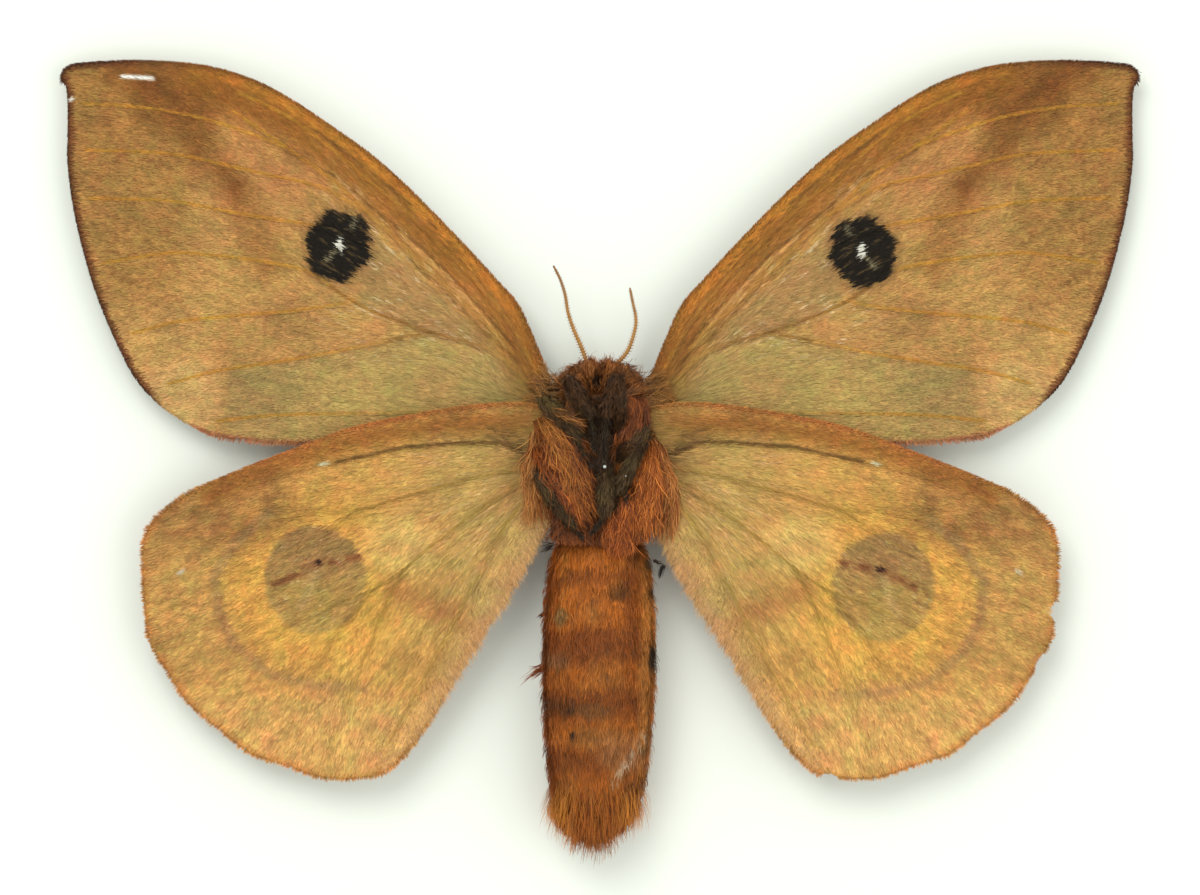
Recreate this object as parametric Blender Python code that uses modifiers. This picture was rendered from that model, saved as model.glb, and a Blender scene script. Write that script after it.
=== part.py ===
"""A set and dried silk moth, Automeris zugana, female, lying on its back with its wings spread.

Lengths are in millimetres until a mesh is made. +X is the moth's width, +Y points to its head,
+Z points up out of its underside, and the floor under its back is z = 0. The origin is on the floor
under the middle of the spread moth. Left and right are the moth's own: its left side is at +X.
"""

import math
import random

import bmesh
import bpy
import numpy as np
from mathutils import Vector
from mathutils.geometry import delaunay_2d_cdt

MM = 0.001
GAP = 0.3
SIDES = {"left": 1, "right": -1}

# The wing outlines of the side at +X, from the front of the root round the tip and back.
FOREWING_OUTLINE = (
    (4.1, 4.6), (4.9, 6.4), (5.1, 8.3), (5.5, 9.6), (6.6, 12.3), (8.3, 16.0), (10.7, 18.8),
    (14.4, 22.8), (19.3, 27.8), (23.4, 31.5), (27.7, 34.6), (32.1, 37.5), (36.2, 39.6),
    (41.3, 41.0), (47.6, 41.5), (53.0, 41.3), (55.2, 40.9), (56.0, 39.7), (55.5, 38.6),
    (55.3, 36.9), (55.3, 33.5), (55.3, 30.5), (54.5, 25.0), (52.6, 17.9), (50.0, 11.6),
    (47.7, 7.6), (44.4, 4.6), (40.4, 2.5), (36.7, 1.9), (32.6, 1.6), (20.7, 1.4),
    (10.3, 1.2), (4.1, 1.0),
)
HINDWING_OUTLINE = (
    (4.1, 4.9), (6.4, 5.8), (10.3, 6.0), (15.0, 5.5), (21.4, 4.4), (26.4, 3.2), (30.9, 1.5),
    (35.2, -0.1), (40.0, -2.1), (43.5, -4.0), (45.9, -6.0), (47.2, -8.3), (47.3, -12.0),
    (47.1, -14.9), (46.6, -18.8), (44.5, -22.3), (42.3, -25.5), (39.2, -28.0), (36.1, -30.4),
    (32.4, -31.6), (28.6, -32.9), (24.5, -32.9), (21.9, -32.2), (19.5, -29.8), (17.1, -26.5),
    (14.7, -22.3), (12.2, -18.2), (9.7, -14.5), (7.5, -10.6), (5.7, -7.3), (4.1, -4.7),
)

# The main veins of each wing, by their usual names, from the root outwards.
FOREWING_VEINS = {
    "subcosta": ((6.3, 8.7), (8.7, 13.1), (11.9, 17.4), (16.6, 22.3), (20.7, 26.2), (26.4, 31.0),
                 (31.6, 35.1), (37.3, 38.0)),
    "radius": ((7.2, 8.6), (10.3, 12.6), (13.9, 16.0), (19.0, 20.9), (23.8, 25.4), (27.7, 28.9),
               (32.6, 32.4), (37.8, 36.0)),
    "radial_fork": ((32.6, 32.4), (39.6, 34.9), (44.7, 36.1), (49.5, 36.7), (53.6, 36.9)),
    "media_1": ((23.8, 25.4), (28.9, 28.2), (34.5, 29.5), (39.6, 30.7), (44.7, 31.7), (53.4, 32.1)),
    "media_2": ((23.8, 22.3), (29.7, 24.2), (34.5, 25.0), (39.6, 25.9), (44.7, 26.8), (52.8, 27.1)),
    "media_3": ((27.7, 17.9), (30.5, 19.6), (35.6, 20.6), (39.6, 21.1), (44.7, 21.4), (51.4, 20.4)),
    "cubitus": ((7.4, 7.6), (9.3, 9.8), (11.9, 11.5), (17.1, 13.1), (21.7, 14.6), (25.4, 16.3),
                (27.7, 17.9)),
    "cubitus_1": ((25.4, 16.3), (31.7, 15.4), (37.7, 14.9), (43.6, 14.3), (48.4, 13.1)),
    "cubitus_2": ((17.1, 13.1), (21.7, 12.3), (27.7, 11.1), (33.6, 10.1), (39.6, 9.2), (44.5, 7.9)),
    "anal": ((7.4, 5.6), (10.3, 5.3), (15.8, 5.0), (23.8, 4.8), (33.6, 4.6), (39.6, 4.0)),
}
HINDWING_VEINS = {
    "subcosta": ((7.4, 0.8), (9.2, 1.5), (13.1, 1.6), (18.1, 1.4), (23.1, 0.5), (28.0, -0.4),
                 (33.0, -1.5), (39.6, -4.0), (43.4, -5.9)),
    "radius": ((7.4, -0.9), (10.3, -1.3), (14.8, -2.3), (19.8, -3.7), (24.7, -5.1), (29.7, -5.5),
               (35.2, -6.5), (40.4, -8.3), (45.2, -10.2)),
    "media_1": ((24.7, -5.1), (28.0, -7.3), (33.0, -10.1), (38.3, -12.7), (45.0, -15.6)),
    "media_2": ((26.4, -14.5), (30.6, -16.2), (35.2, -18.7), (39.8, -21.6), (42.0, -23.2)),
    "cubitus": ((7.4, -2.1), (11.6, -4.6), (15.8, -7.7), (19.8, -10.9), (23.1, -13.2), (26.4, -14.5)),
    "cubitus_1": ((23.1, -13.2), (26.4, -17.2), (30.0, -21.8), (33.6, -27.0), (35.0, -28.9)),
    "cubitus_2": ((19.8, -10.9), (22.3, -15.6), (24.8, -21.8), (27.1, -28.0), (27.9, -30.9)),
    "anal_1": ((7.6, -4.1), (9.9, -7.3), (13.1, -13.0), (16.6, -19.7), (20.2, -26.4), (22.0, -29.4)),
}

# Heights of the wings' middle surface, and their thickness.
WING_ROOT_X = 5.0
WING_TIP_X = 56.0
FOREWING_ROOT_Z = 4.3
FOREWING_TIP_Z = 2.5
FOREWING_ARCH = 0.5
HINDWING_ROOT_Z = 6.2
HINDWING_TIP_Z = 4.1
HINDWING_ARCH = 0.6
HINDWING_REAR_DROP = 0.035
MEMBRANE = 0.5
VEIN_THICKNESS = 1.0
VEIN_HALF_WIDTH = 0.55
ROOT_THICKNESS = 1.3
ROOT_BLEND = 5.0
VEIN_STEP = 3.6
MARGIN_STEPS = 2
MESH_SPACING = 4.6
CLEAR_OF_VEIN = 1.7
CLEAR_OF_MARGIN = 1.5

# Cross sections of the body: place along Y, half width, lowest and highest z before the floor cuts them.
THORAX_SECTIONS = (
    (6.3, 3.6, 1.9, 8.4),
    (5.4, 4.3, 1.0, 9.4),
    (3.4, 4.8, 0.1, 10.2),
    (0.4, 5.0, -0.4, 10.8),
    (-3.2, 5.0, -0.4, 10.6),
    (-6.2, 4.6, -0.2, 9.9),
    (-8.1, 4.2, 0.5, 9.0),
)
HEAD_SECTIONS = (
    (9.7, 1.2, 4.0, 6.1),
    (9.35, 2.4, 3.3, 6.9),
    (8.6, 3.4, 2.6, 7.7),
    (7.6, 4.0, 2.1, 8.3),
    (6.7, 3.9, 2.1, 8.4),
)
ABDOMEN_COAT = (
    (-8.4, 4.4, 0.5, 9.2),
    (-10.6, 5.1, -0.3, 9.9),
    (-14.5, 5.6, -0.5, 10.4),
    (-19.7, 5.8, -0.5, 10.6),
    (-24.9, 5.7, -0.5, 10.5),
    (-30.1, 5.4, -0.4, 10.0),
    (-34.2, 4.8, -0.1, 9.1),
    (-36.8, 4.2, 0.4, 8.4),
    (-38.7, 3.4, 1.1, 7.6),
    (-40.4, 2.3, 2.1, 6.6),
    (-41.7, 0.9, 3.4, 5.2),
)
SEGMENT_EDGES = (-8.4, -12.8, -18.8, -25.1, -30.3, -34.4, -37.4)
TUFT_START = -30.5
TUFT_DEPTH = 1.2
SEGMENT_STEP = 0.28
ABDOMEN_LEAN = 0.02
BODY_SIDES = 24
BELOW_FLOOR = -10.0
THORAX_RINGS = 13
HEAD_RINGS = 8

EYE_RADIUS = 1.3
EYE_PLACE = (3.25, 7.95, 5.3)

ANTENNAS = {
    "left": ((1.2, 8.3, 4.1), (1.66, 9.7, 4.0), (2.9, 11.3, 4.1), (3.6, 13.4, 4.2),
             (3.7, 14.7, 4.3), (3.4, 16.2, 4.4), (3.1, 17.7, 4.4)),
    "right": ((-1.0, 8.3, 4.1), (-1.24, 9.6, 4.0), (-1.8, 11.3, 4.1), (-2.7, 13.4, 4.3),
              (-3.3, 15.2, 4.5), (-3.6, 17.0, 4.7), (-4.1, 18.6, 4.8), (-4.8, 20.0, 4.8)),
}
ANTENNA_ROOT_RADIUS = 0.3
ANTENNA_TIP_RADIUS = 0.16
PALP = ((0.75, 7.0, 7.2), (0.85, 8.1, 8.3), (0.85, 9.0, 8.1), (0.7, 9.6, 7.4))
PALP_RADIUS = 0.5

# Each leg: the joints from the hip, and the radius of the pieces between them.
LEGS = {
    "foreleg_left": {
        "coxa": ((1.5, 2.6, 9.3), (1.9, 4.4, 11.0)),
        "femur": ((1.9, 4.4, 11.0), (1.75, 8.5, 9.7)),
        "tibia": ((1.75, 8.5, 9.7), (0.8, 5.2, 11.8)),
        "tarsus": ((0.8, 5.2, 11.8), (0.5, 2.6, 12.1), (0.4, 0.0, 12.2)),
    },
    "foreleg_right": {
        "coxa": ((-1.4, 2.8, 9.3), (-1.6, 5.0, 10.8)),
        "femur": ((-1.6, 5.0, 10.8), (-3.3, 8.4, 8.9)),
        "tibia": ((-3.3, 8.4, 8.9), (-1.3, 5.0, 11.5)),
        "tarsus": ((-1.3, 5.0, 11.5), (-0.75, 3.0, 12.0), (-0.6, 1.1, 12.1)),
    },
    "midleg_left": {
        "coxa": ((1.9, 0.2, 9.4), (2.7, 1.0, 11.3)),
        "femur": ((2.7, 1.0, 11.3), (4.8, 2.9, 10.0)),
        "tibia": ((4.8, 2.9, 10.0), (3.4, 0.2, 11.3), (2.2, -2.7, 11.5)),
        "tarsus": ((2.2, -2.7, 11.5), (2.7, -3.9, 11.2), (2.9, -5.0, 10.8)),
    },
    "midleg_right": {
        "coxa": ((-1.9, 0.2, 9.5), (-2.8, 1.2, 11.0)),
        "femur": ((-2.8, 1.2, 11.0), (-4.6, 4.2, 10.0), (-5.7, 6.2, 8.9)),
        "tibia": ((-5.7, 6.2, 8.9), (-3.9, 4.3, 10.6), (-2.5, 2.6, 11.7)),
        "tarsus": ((-2.5, 2.6, 11.7), (-1.9, 1.0, 12.0), (-1.0, -0.5, 12.0)),
    },
    "hindleg_left": {
        "coxa": ((1.0, -5.3, 9.1), (1.2, -4.4, 11.2)),
        "femur": ((1.2, -4.4, 11.2), (0.5, -1.6, 11.7)),
        "tibia": ((0.5, -1.6, 11.7), (0.5, -5.0, 11.9)),
        "tarsus": ((0.5, -5.0, 11.9), (0.1, -6.3, 11.2), (-0.8, -7.4, 10.7)),
    },
    "hindleg_right": {
        "coxa": ((-1.8, -3.2, 9.4), (-2.5, -2.9, 11.1)),
        "femur": ((-2.5, -2.9, 11.1), (-6.4, -1.7, 9.7)),
        "tibia": ((-6.4, -1.7, 9.7), (-4.4, -4.4, 10.5), (-3.1, -6.1, 11.0)),
        "tarsus": ((-3.1, -6.1, 10.9), (-2.6, -7.0, 10.7), (-2.0, -7.8, 10.4)),
    },
}
LEG_RADII = {"coxa": 0.8, "femur": 0.64, "tibia": 0.66, "tarsus": 0.32}

# Rows of long hair on each side of the thorax, as locks: the first and last root along Y, how many,
# the roots' angle up from the side in degrees, the length, the way the hair lies as (outwards, along Y,
# up), and whether it grows above the wings.
THORAX_ROWS = (
    (4.4, -6.4, 9, 30, 4.6, (0.62, -0.78, 0.0), True),
    (3.0, -6.6, 8, 40, 3.6, (0.3, -0.93, 0.16), True),
    (5.0, -3.6, 6, -37, 3.8, (0.5, -0.86, 0.0), False),
    (2.0, -4.4, 4, -58, 3.4, (0.3, -0.95, 0.0), False),
)
# Rings of long hair at the abdomen's end: the roots' place along Y, how many, and the length.
TUFT_RINGS = ((-33.0, 15, 4.9), (-34.9, 14, 5.2), (-36.6, 11, 5.1))
LOCK_WIDTH = 1.25
LOCK_THICKNESS = 0.55
LOCK_SINK = 0.8
LOCK_RISE = 0.45
LOCK_TOP = 8.3
# Locks further out than this lie over or under the wings, and all stay this far off the floor.
BODY_EDGE_X = 3.2
OVER_FLOOR = 0.1
LOCK_STATIONS = ((0.0, 0.9), (0.3, 1.0), (0.6, 0.82), (0.85, 0.45))
SEED = 7


def clear_scene():
    for obj in list(bpy.data.objects):
        bpy.data.objects.remove(obj, do_unlink=True)


def new_collection(name):
    collection = bpy.data.collections.new(name)
    bpy.context.scene.collection.children.link(collection)
    return collection


def material(name, colour, roughness, metallic=0.0):
    made = bpy.data.materials.new(name)
    made.use_nodes = True
    shader = made.node_tree.nodes["Principled BSDF"]
    shader.inputs["Base Color"].default_value = (*colour, 1.0)
    shader.inputs["Roughness"].default_value = roughness
    shader.inputs["Metallic"].default_value = metallic
    return made


def object_from(name, mesh, collection):
    obj = bpy.data.objects.new(name, mesh)
    collection.objects.link(obj)
    return obj


def mesh_from_bmesh(name, work):
    mesh = bpy.data.meshes.new(name)
    bmesh.ops.recalc_face_normals(work, faces=work.faces)
    work.to_mesh(mesh)
    work.free()
    return mesh


def scaled(points):
    return [Vector(p) * MM for p in points]


def spline(points, steps, closed=False):
    """Points on the smooth curve through points, with this many steps from one to the next."""
    points = [np.array(p, float) for p in points]
    count = len(points)
    made = []
    for i in range(count if closed else count - 1):
        before = points[i - 1] if closed or i > 0 else 2 * points[0] - points[1]
        here, after = points[i], points[(i + 1) % count]
        if closed or i + 2 < count:
            beyond = points[(i + 2) % count]
        else:
            beyond = 2 * after - here
        for step in range(steps):
            t = step / steps
            made.append(0.5 * (2 * here + (after - before) * t
                               + (2 * before - 5 * here + 4 * after - beyond) * t ** 2
                               + (3 * here - before - 3 * after + beyond) * t ** 3))
    if not closed:
        made.append(points[-1])
    return np.array(made)


def evenly(points, spacing):
    """The same curve with points about this far apart."""
    lengths = np.concatenate([[0], np.cumsum(np.linalg.norm(np.diff(points, axis=0), axis=1))])
    count = max(2, round(lengths[-1] / spacing) + 1)
    places = np.linspace(0, lengths[-1], count)
    return np.stack([np.interp(places, lengths, points[:, k]) for k in range(points.shape[1])], axis=1)


def distance_to_line(points, line):
    """Distance of each point to a polyline, in the plane, and how far along the line it falls, 0 to 1."""
    nearest = np.full(len(points), np.inf)
    along = np.zeros(len(points))
    for i in range(len(line) - 1):
        start, reach = line[i], line[i + 1] - line[i]
        t = np.clip(((points - start) @ reach) / (reach @ reach), 0, 1)
        away = np.linalg.norm(points - start - t[:, None] * reach, axis=1)
        closer = away < nearest
        nearest[closer] = away[closer]
        along[closer] = (i + t[closer]) / (len(line) - 1)
    return nearest, along


def inside(points, outline):
    """Which points lie inside a closed outline."""
    found = np.zeros(len(points), bool)
    for a, b in zip(outline, np.roll(outline, -1, axis=0)):
        crosses = (a[1] > points[:, 1]) != (b[1] > points[:, 1])
        height = b[1] - a[1] if b[1] != a[1] else 1.0
        found ^= crosses & (points[:, 0] < (b[0] - a[0]) * (points[:, 1] - a[1]) / height + a[0])
    return found


def smooth_step(value):
    value = np.clip(value, 0, 1)
    return value * value * (3 - 2 * value)


def forewing_height(x, y):
    share = np.clip((np.abs(x) - WING_ROOT_X) / (WING_TIP_X - WING_ROOT_X), 0, 1)
    return (FOREWING_ROOT_Z + (FOREWING_TIP_Z - FOREWING_ROOT_Z) * share
            + FOREWING_ARCH * np.sin(math.pi * share))


def hindwing_height(x, y):
    share = np.clip((np.abs(x) - WING_ROOT_X) / (WING_TIP_X - WING_ROOT_X), 0, 1)
    return (HINDWING_ROOT_Z + (HINDWING_TIP_Z - HINDWING_ROOT_Z) * share
            + HINDWING_ARCH * np.sin(math.pi * share)
            - HINDWING_REAR_DROP * np.clip(-y - 2.0, 0, None) * smooth_step((np.abs(x) - 5.0) / 8.0))


def wing_thickness(points, veins):
    """Thickness at each point: the membrane, raised along the veins and towards the root."""
    thick = np.full(len(points), MEMBRANE)
    for line in veins:
        away, along = distance_to_line(points, line)
        ridge = np.clip(1 - away / VEIN_HALF_WIDTH, 0, 1) * (1 - 0.75 * along)
        thick = np.maximum(thick, MEMBRANE + (VEIN_THICKNESS - MEMBRANE) * ridge)
    near_root = 1 - smooth_step((np.abs(points[:, 0]) - WING_ROOT_X) / ROOT_BLEND)
    return np.maximum(thick, MEMBRANE + (ROOT_THICKNESS - MEMBRANE) * near_root)


def vein_strip(line):
    """A vein's middle line and its two edges."""
    along = np.gradient(line, axis=0)
    across = np.stack([-along[:, 1], along[:, 0]], axis=1)
    across /= np.linalg.norm(across, axis=1)[:, None]
    return line, line + across * VEIN_HALF_WIDTH, line - across * VEIN_HALF_WIDTH


def wing_plan(outline, veins):
    """Points and triangles of a wing seen from above, with edges along its veins."""
    rim = spline(outline, MARGIN_STEPS, closed=True)
    points = [rim]
    edges = []
    first = len(rim)
    for line in veins:
        for strip in vein_strip(line):
            edges += [(first + i, first + i + 1) for i in range(len(strip) - 1)]
            points.append(strip)
            first += len(strip)
    low, high = rim.min(axis=0), rim.max(axis=0)
    rows = np.arange(low[1], high[1], MESH_SPACING * math.sqrt(3) / 2)
    grid = np.array([(x + (MESH_SPACING / 2 if row % 2 else 0), y)
                     for row, y in enumerate(rows)
                     for x in np.arange(low[0], high[0], MESH_SPACING)])
    keep = inside(grid, rim) & (distance_to_line(grid, np.vstack([rim, rim[:1]]))[0] > CLEAR_OF_MARGIN)
    for line in veins:
        keep &= distance_to_line(grid, line)[0] > CLEAR_OF_VEIN
    points = np.vstack([*points, grid[keep]])
    made = delaunay_2d_cdt([Vector(p) for p in points], edges, [list(range(len(rim)))], 1, 1e-4)
    flat = np.array([tuple(p) for p in made[0]])
    faces = [face for face in made[2] if inside(flat[list(face)].mean(axis=0)[None], rim)[0]]
    return flat, faces


def wing_slab(name, side, outline, veins, height, collection):
    """A wing as a curved open sheet with its thickness from Solidify, alike on both faces."""
    lines = [evenly(spline(v, 6), VEIN_STEP) for v in veins.values()]
    flat, faces = wing_plan(outline, lines)
    heights = height(flat[:, 0], flat[:, 1])
    mesh = bpy.data.meshes.new(name)
    mesh.from_pydata([(side * p[0] * MM, p[1] * MM, z * MM) for p, z in zip(flat, heights)], [], faces)
    work = bmesh.new()
    work.from_mesh(mesh)
    bmesh.ops.delete(work, geom=[v for v in work.verts if not v.link_faces], context="VERTS")
    for face in work.faces:
        if face.normal.z < 0:
            face.normal_flip()
    work.verts.index_update()
    places = [(abs(v.co.x) / MM, v.co.y / MM) for v in work.verts]
    work.to_mesh(mesh)
    work.free()
    obj = object_from(name, mesh, collection)
    thick = wing_thickness(np.array(places), lines)
    group = obj.vertex_groups.new(name="thickness")
    for index, value in enumerate(thick / thick.max()):
        group.add([index], float(value), "REPLACE")
    solid = obj.modifiers.new("thickness", "SOLIDIFY")
    solid.thickness = float(thick.max()) * MM
    solid.offset = 0.0
    solid.vertex_group = group.name
    return obj


def section_at(sections, y):
    """Half width, lowest and highest z of the body at this place along Y."""
    curve = spline(sections, 12)
    order = np.argsort(curve[:, 0])
    return [float(np.interp(y, curve[order, 0], curve[order, k])) for k in (1, 2, 3)]


def ring(y, half_width, low, high, x_middle=0.0, floor=0.0):
    middle, half_height = (low + high) / 2, (high - low) / 2
    turns = [2 * math.pi * k / BODY_SIDES for k in range(BODY_SIDES)]
    return [(x_middle + half_width * math.cos(a), y, max(middle + half_height * math.sin(a), floor))
            for a in turns]


def loft(name, rings, collection):
    """A closed solid through rings of points, with a flat cap at each end."""
    work = bmesh.new()
    made = [[work.verts.new(p) for p in scaled(points)] for points in rings]
    for first, second in zip(made, made[1:]):
        for k in range(len(first)):
            after = (k + 1) % len(first)
            work.faces.new((first[k], first[after], second[after], second[k]))
    work.faces.new(made[0])
    work.faces.new(made[-1])
    return object_from(name, mesh_from_bmesh(name, work), collection)


def body_loft(name, sections, count, collection, grow=0.0):
    """The thorax or head. Grown, it is the cutter that keeps what grows from it clear by that much."""
    length = sections[0][0] - sections[-1][0]
    middle = (sections[0][0] + sections[-1][0]) / 2
    curve = evenly(spline(sections, 8), length / (count - 1))
    curve[:, 0] = middle + (curve[:, 0] - middle) * (1 + 2 * grow / length)
    floor = BELOW_FLOOR if grow else 0.0
    rings = [ring(y, half + grow, low - grow, high + grow, floor=floor) for y, half, low, high in curve]
    return loft(name, rings, collection)


def abdomen_middle(y):
    return ABDOMEN_LEAN * (y - SEGMENT_EDGES[0])


def hair_depth(y):
    """How far the abdomen draws in under the hair of its tuft, at this place along Y."""
    return TUFT_DEPTH * max(0.0, (TUFT_START - y) / (TUFT_START - SEGMENT_EDGES[-1]))


def abdomen_ring(y, swell):
    half, low, high = section_at(ABDOMEN_COAT, y)
    grow = SEGMENT_STEP * swell - hair_depth(y)
    return ring(y, half + grow, max(low - grow, low), high + grow, abdomen_middle(y))


def abdomen_rings():
    """Rings of the abdomen: each segment widens backwards and laps over the next."""
    rings = []
    for front, back in zip(SEGMENT_EDGES, SEGMENT_EDGES[1:]):
        for share, swell in ((0.0, 0.0), (0.4, 0.55), (0.86, 1.0), (0.97, 0.75)):
            rings.append(abdomen_ring(front + (back - front) * share, swell))
    rings.append(abdomen_ring(SEGMENT_EDGES[-1], 0.0))
    return rings


def lock(path, normals, width, collection):
    """A flat lock of hair along a path, tapering to its tip, with its flat side against the body."""
    work = bmesh.new()
    rings = []
    lengths = np.linspace(0, 1, len(path))
    for share, wide in LOCK_STATIONS:
        middle = Vector([np.interp(share, lengths, path[:, k]) for k in range(3)])
        ahead = Vector([np.interp(share + 0.1, lengths, path[:, k]) for k in range(3)])
        normal = Vector([np.interp(share, lengths, normals[:, k]) for k in range(3)]).normalized()
        across = (ahead - middle).cross(normal).normalized() * (width * wide / 2)
        up = normal * (LOCK_THICKNESS * wide / 2)
        rings.append([work.verts.new(p * MM) for p in (middle + across, middle + up,
                                                       middle - across, middle - up)])
    tip = work.verts.new(Vector(path[-1]) * MM)
    work.faces.new(rings[0])
    for first, second in zip(rings, rings[1:]):
        for k in range(4):
            after = (k + 1) % 4
            work.faces.new((first[k], first[after], second[after], second[k]))
    for k in range(4):
        work.faces.new((rings[-1][k], rings[-1][(k + 1) % 4], tip))
    bmesh.ops.triangulate(work, faces=work.faces)
    return object_from("lock", mesh_from_bmesh("lock", work), collection)


def skin_point(sections, y, angle, x_middle=0.0):
    """A point of the body's surface and its outward normal, at an angle up from its left side."""
    half, low, high = section_at(sections, y)
    half_height = (high - low) / 2
    point = np.array([x_middle + half * math.cos(angle), y, (low + high) / 2 + half_height * math.sin(angle)])
    normal = np.array([math.cos(angle) / half, 0.0, math.sin(angle) / half_height])
    return point, normal / np.linalg.norm(normal)


def clear_of_wings(point, above):
    """The point, moved up or down until a lock there misses the wings and the floor."""
    x, y, z = point
    room = ROOT_THICKNESS / 2 + GAP + LOCK_THICKNESS / 2
    if above and abs(x) > BODY_EDGE_X:
        z = min(max(z, hindwing_height(x, y) + room), LOCK_TOP)
    if not above:
        wing = forewing_height(x, y) if y > -1.0 else hindwing_height(x, y)
        z = min(z, wing - room) if abs(x) > BODY_EDGE_X else z
        z = max(z, LOCK_THICKNESS / 2 + OVER_FLOOR)
    return np.array([x, y, z])


def thorax_locks(collection):
    draw = random.Random(SEED)
    locks = []
    for side in SIDES.values():
        for first, last, count, degrees, length, lie, above in THORAX_ROWS:
            for k in range(count):
                y = first + (last - first) * k / (count - 1) + draw.uniform(-0.2, 0.2)
                angle = math.radians(degrees + draw.uniform(-3, 3))
                root, normal = skin_point(THORAX_SECTIONS, y, angle)
                way = np.array(lie) + np.array([draw.uniform(-0.12, 0.12), 0.0, 0.0])
                reach = length * draw.uniform(0.85, 1.1)
                path = []
                for share in np.linspace(0, 1, 9):
                    lift = (LOCK_SINK + LOCK_RISE) * math.sin(math.pi / 2 * min(1.0, 1.8 * share)) - LOCK_SINK
                    path.append(clear_of_wings(root + normal * lift + way * reach * share, above))
                path = np.array(path)
                path[0] = root - normal * LOCK_SINK
                flip = np.array([side, 1, 1])
                flat = np.array([0, 0, 1 if above else -1])
                turns = np.clip(0.7 + 2.0 * np.linspace(0, 1, len(path)), 0, 1)[:, None]
                normals = (normal * (1 - turns) + flat * turns) * flip
                locks.append(lock(path * flip, normals, LOCK_WIDTH * draw.uniform(0.85, 1.15), collection))
    return locks


def tuft_locks(collection):
    draw = random.Random(SEED + 1)
    locks = []
    for number, (start, count, length) in enumerate(TUFT_RINGS):
        for k in range(count):
            angle = 2 * math.pi * (k + 0.5 * (number % 2)) / count + draw.uniform(-0.08, 0.08)
            reach = length * draw.uniform(0.85, 1.0)
            path, normals = [], []
            for share in np.linspace(0, 1, 9):
                y = max(start - reach * share, ABDOMEN_COAT[-1][0])
                point, normal = skin_point(ABDOMEN_COAT, y, angle, abdomen_middle(y))
                depth = (hair_depth(start) + LOCK_SINK) * (1 - share) ** 2 + LOCK_THICKNESS / 4
                point = point - normal * depth
                point[2] = max(point[2], LOCK_THICKNESS / 2 + OVER_FLOOR)
                path.append(point)
                normals.append(normal)
            width = LOCK_WIDTH * draw.uniform(0.9, 1.2)
            locks.append(lock(np.array(path), np.array(normals), width, collection))
    return locks


def tube(name, points, radii, sides, collection):
    """A closed tube through points, from a curve with its own radius at each point."""
    data = bpy.data.curves.new(name, "CURVE")
    data.dimensions = "3D"
    data.bevel_depth = MM
    data.bevel_resolution = sides // 2 - 2
    data.use_fill_caps = True
    line = data.splines.new("POLY")
    line.points.add(len(points) - 1)
    for point, place, radius in zip(line.points, points, radii):
        point.co = (*(Vector(place) * MM), 1.0)
        point.radius = radius
    curve = object_from(name, data, collection)
    bpy.context.view_layer.update()
    graph = bpy.context.evaluated_depsgraph_get()
    mesh = bpy.data.meshes.new_from_object(curve.evaluated_get(graph), depsgraph=graph)
    work = bmesh.new()
    work.from_mesh(mesh)
    bmesh.ops.remove_doubles(work, verts=work.verts, dist=1e-6)
    bpy.data.objects.remove(curve, do_unlink=True)
    bpy.data.meshes.remove(mesh)
    return object_from(name, mesh_from_bmesh(name, work), collection)


def evaluated(obj):
    bpy.context.view_layer.update()
    graph = bpy.context.evaluated_depsgraph_get()
    return bpy.data.meshes.new_from_object(obj.evaluated_get(graph), depsgraph=graph)


def largest_surface(mesh):
    """Keeps only the mesh's largest closed surface."""
    work = bmesh.new()
    work.from_mesh(mesh)
    left = set(work.verts)
    islands = []
    while left:
        stack = [left.pop()]
        island = set(stack)
        while stack:
            for edge in stack.pop().link_edges:
                for vertex in edge.verts:
                    if vertex in left:
                        left.remove(vertex)
                        island.add(vertex)
                        stack.append(vertex)
        islands.append(island)
    keep = max(islands, key=len)
    bmesh.ops.delete(work, geom=[v for v in work.verts if v not in keep], context="VERTS")
    work.to_mesh(mesh)
    work.free()


def combine(obj, operation, others, solver="EXACT"):
    """Joins other closed meshes to obj, or cuts them from it, in one Boolean, and removes them."""
    group = new_collection(obj.name + "_" + operation.lower())
    for other in others:
        for user in list(other.users_collection):
            user.objects.unlink(other)
        group.objects.link(other)
    boolean = obj.modifiers.new(operation, "BOOLEAN")
    boolean.operation = operation
    boolean.operand_type = "COLLECTION"
    boolean.collection = group
    boolean.solver = solver
    mesh = evaluated(obj)
    obj.modifiers.clear()
    obj.data = mesh
    for other in others:
        bpy.data.objects.remove(other, do_unlink=True)
    bpy.data.collections.remove(group)
    largest_surface(mesh)
    return obj


def finish(obj, look, collection):
    """Names the node's mesh, gives it its material and shades its round forms smooth."""
    mesh = evaluated(obj)
    obj.modifiers.clear()
    obj.data = mesh
    mesh.name = obj.name
    mesh.materials.clear()
    mesh.materials.append(look)
    mesh.shade_smooth()
    mesh.set_sharp_from_angle(angle=math.radians(40))
    if collection not in obj.users_collection:
        collection.objects.link(obj)
    return obj


def build_wing(name, side, outline, veins, height, look, parts):
    wing = wing_slab(name, side, outline, veins, height, parts)
    cutter = body_loft("thorax_clearance", THORAX_SECTIONS, THORAX_RINGS, parts, GAP)
    return finish(combine(wing, "DIFFERENCE", [cutter]), look, parts)


def build_thorax(look, parts):
    thorax = body_loft("thorax", THORAX_SECTIONS, THORAX_RINGS, parts)
    combine(thorax, "UNION", thorax_locks(parts), "MANIFOLD")
    return finish(thorax, look, parts)


def build_abdomen(look, parts):
    abdomen = loft("abdomen", abdomen_rings(), parts)
    combine(abdomen, "UNION", tuft_locks(parts), "MANIFOLD")
    return finish(abdomen, look, parts)


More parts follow.
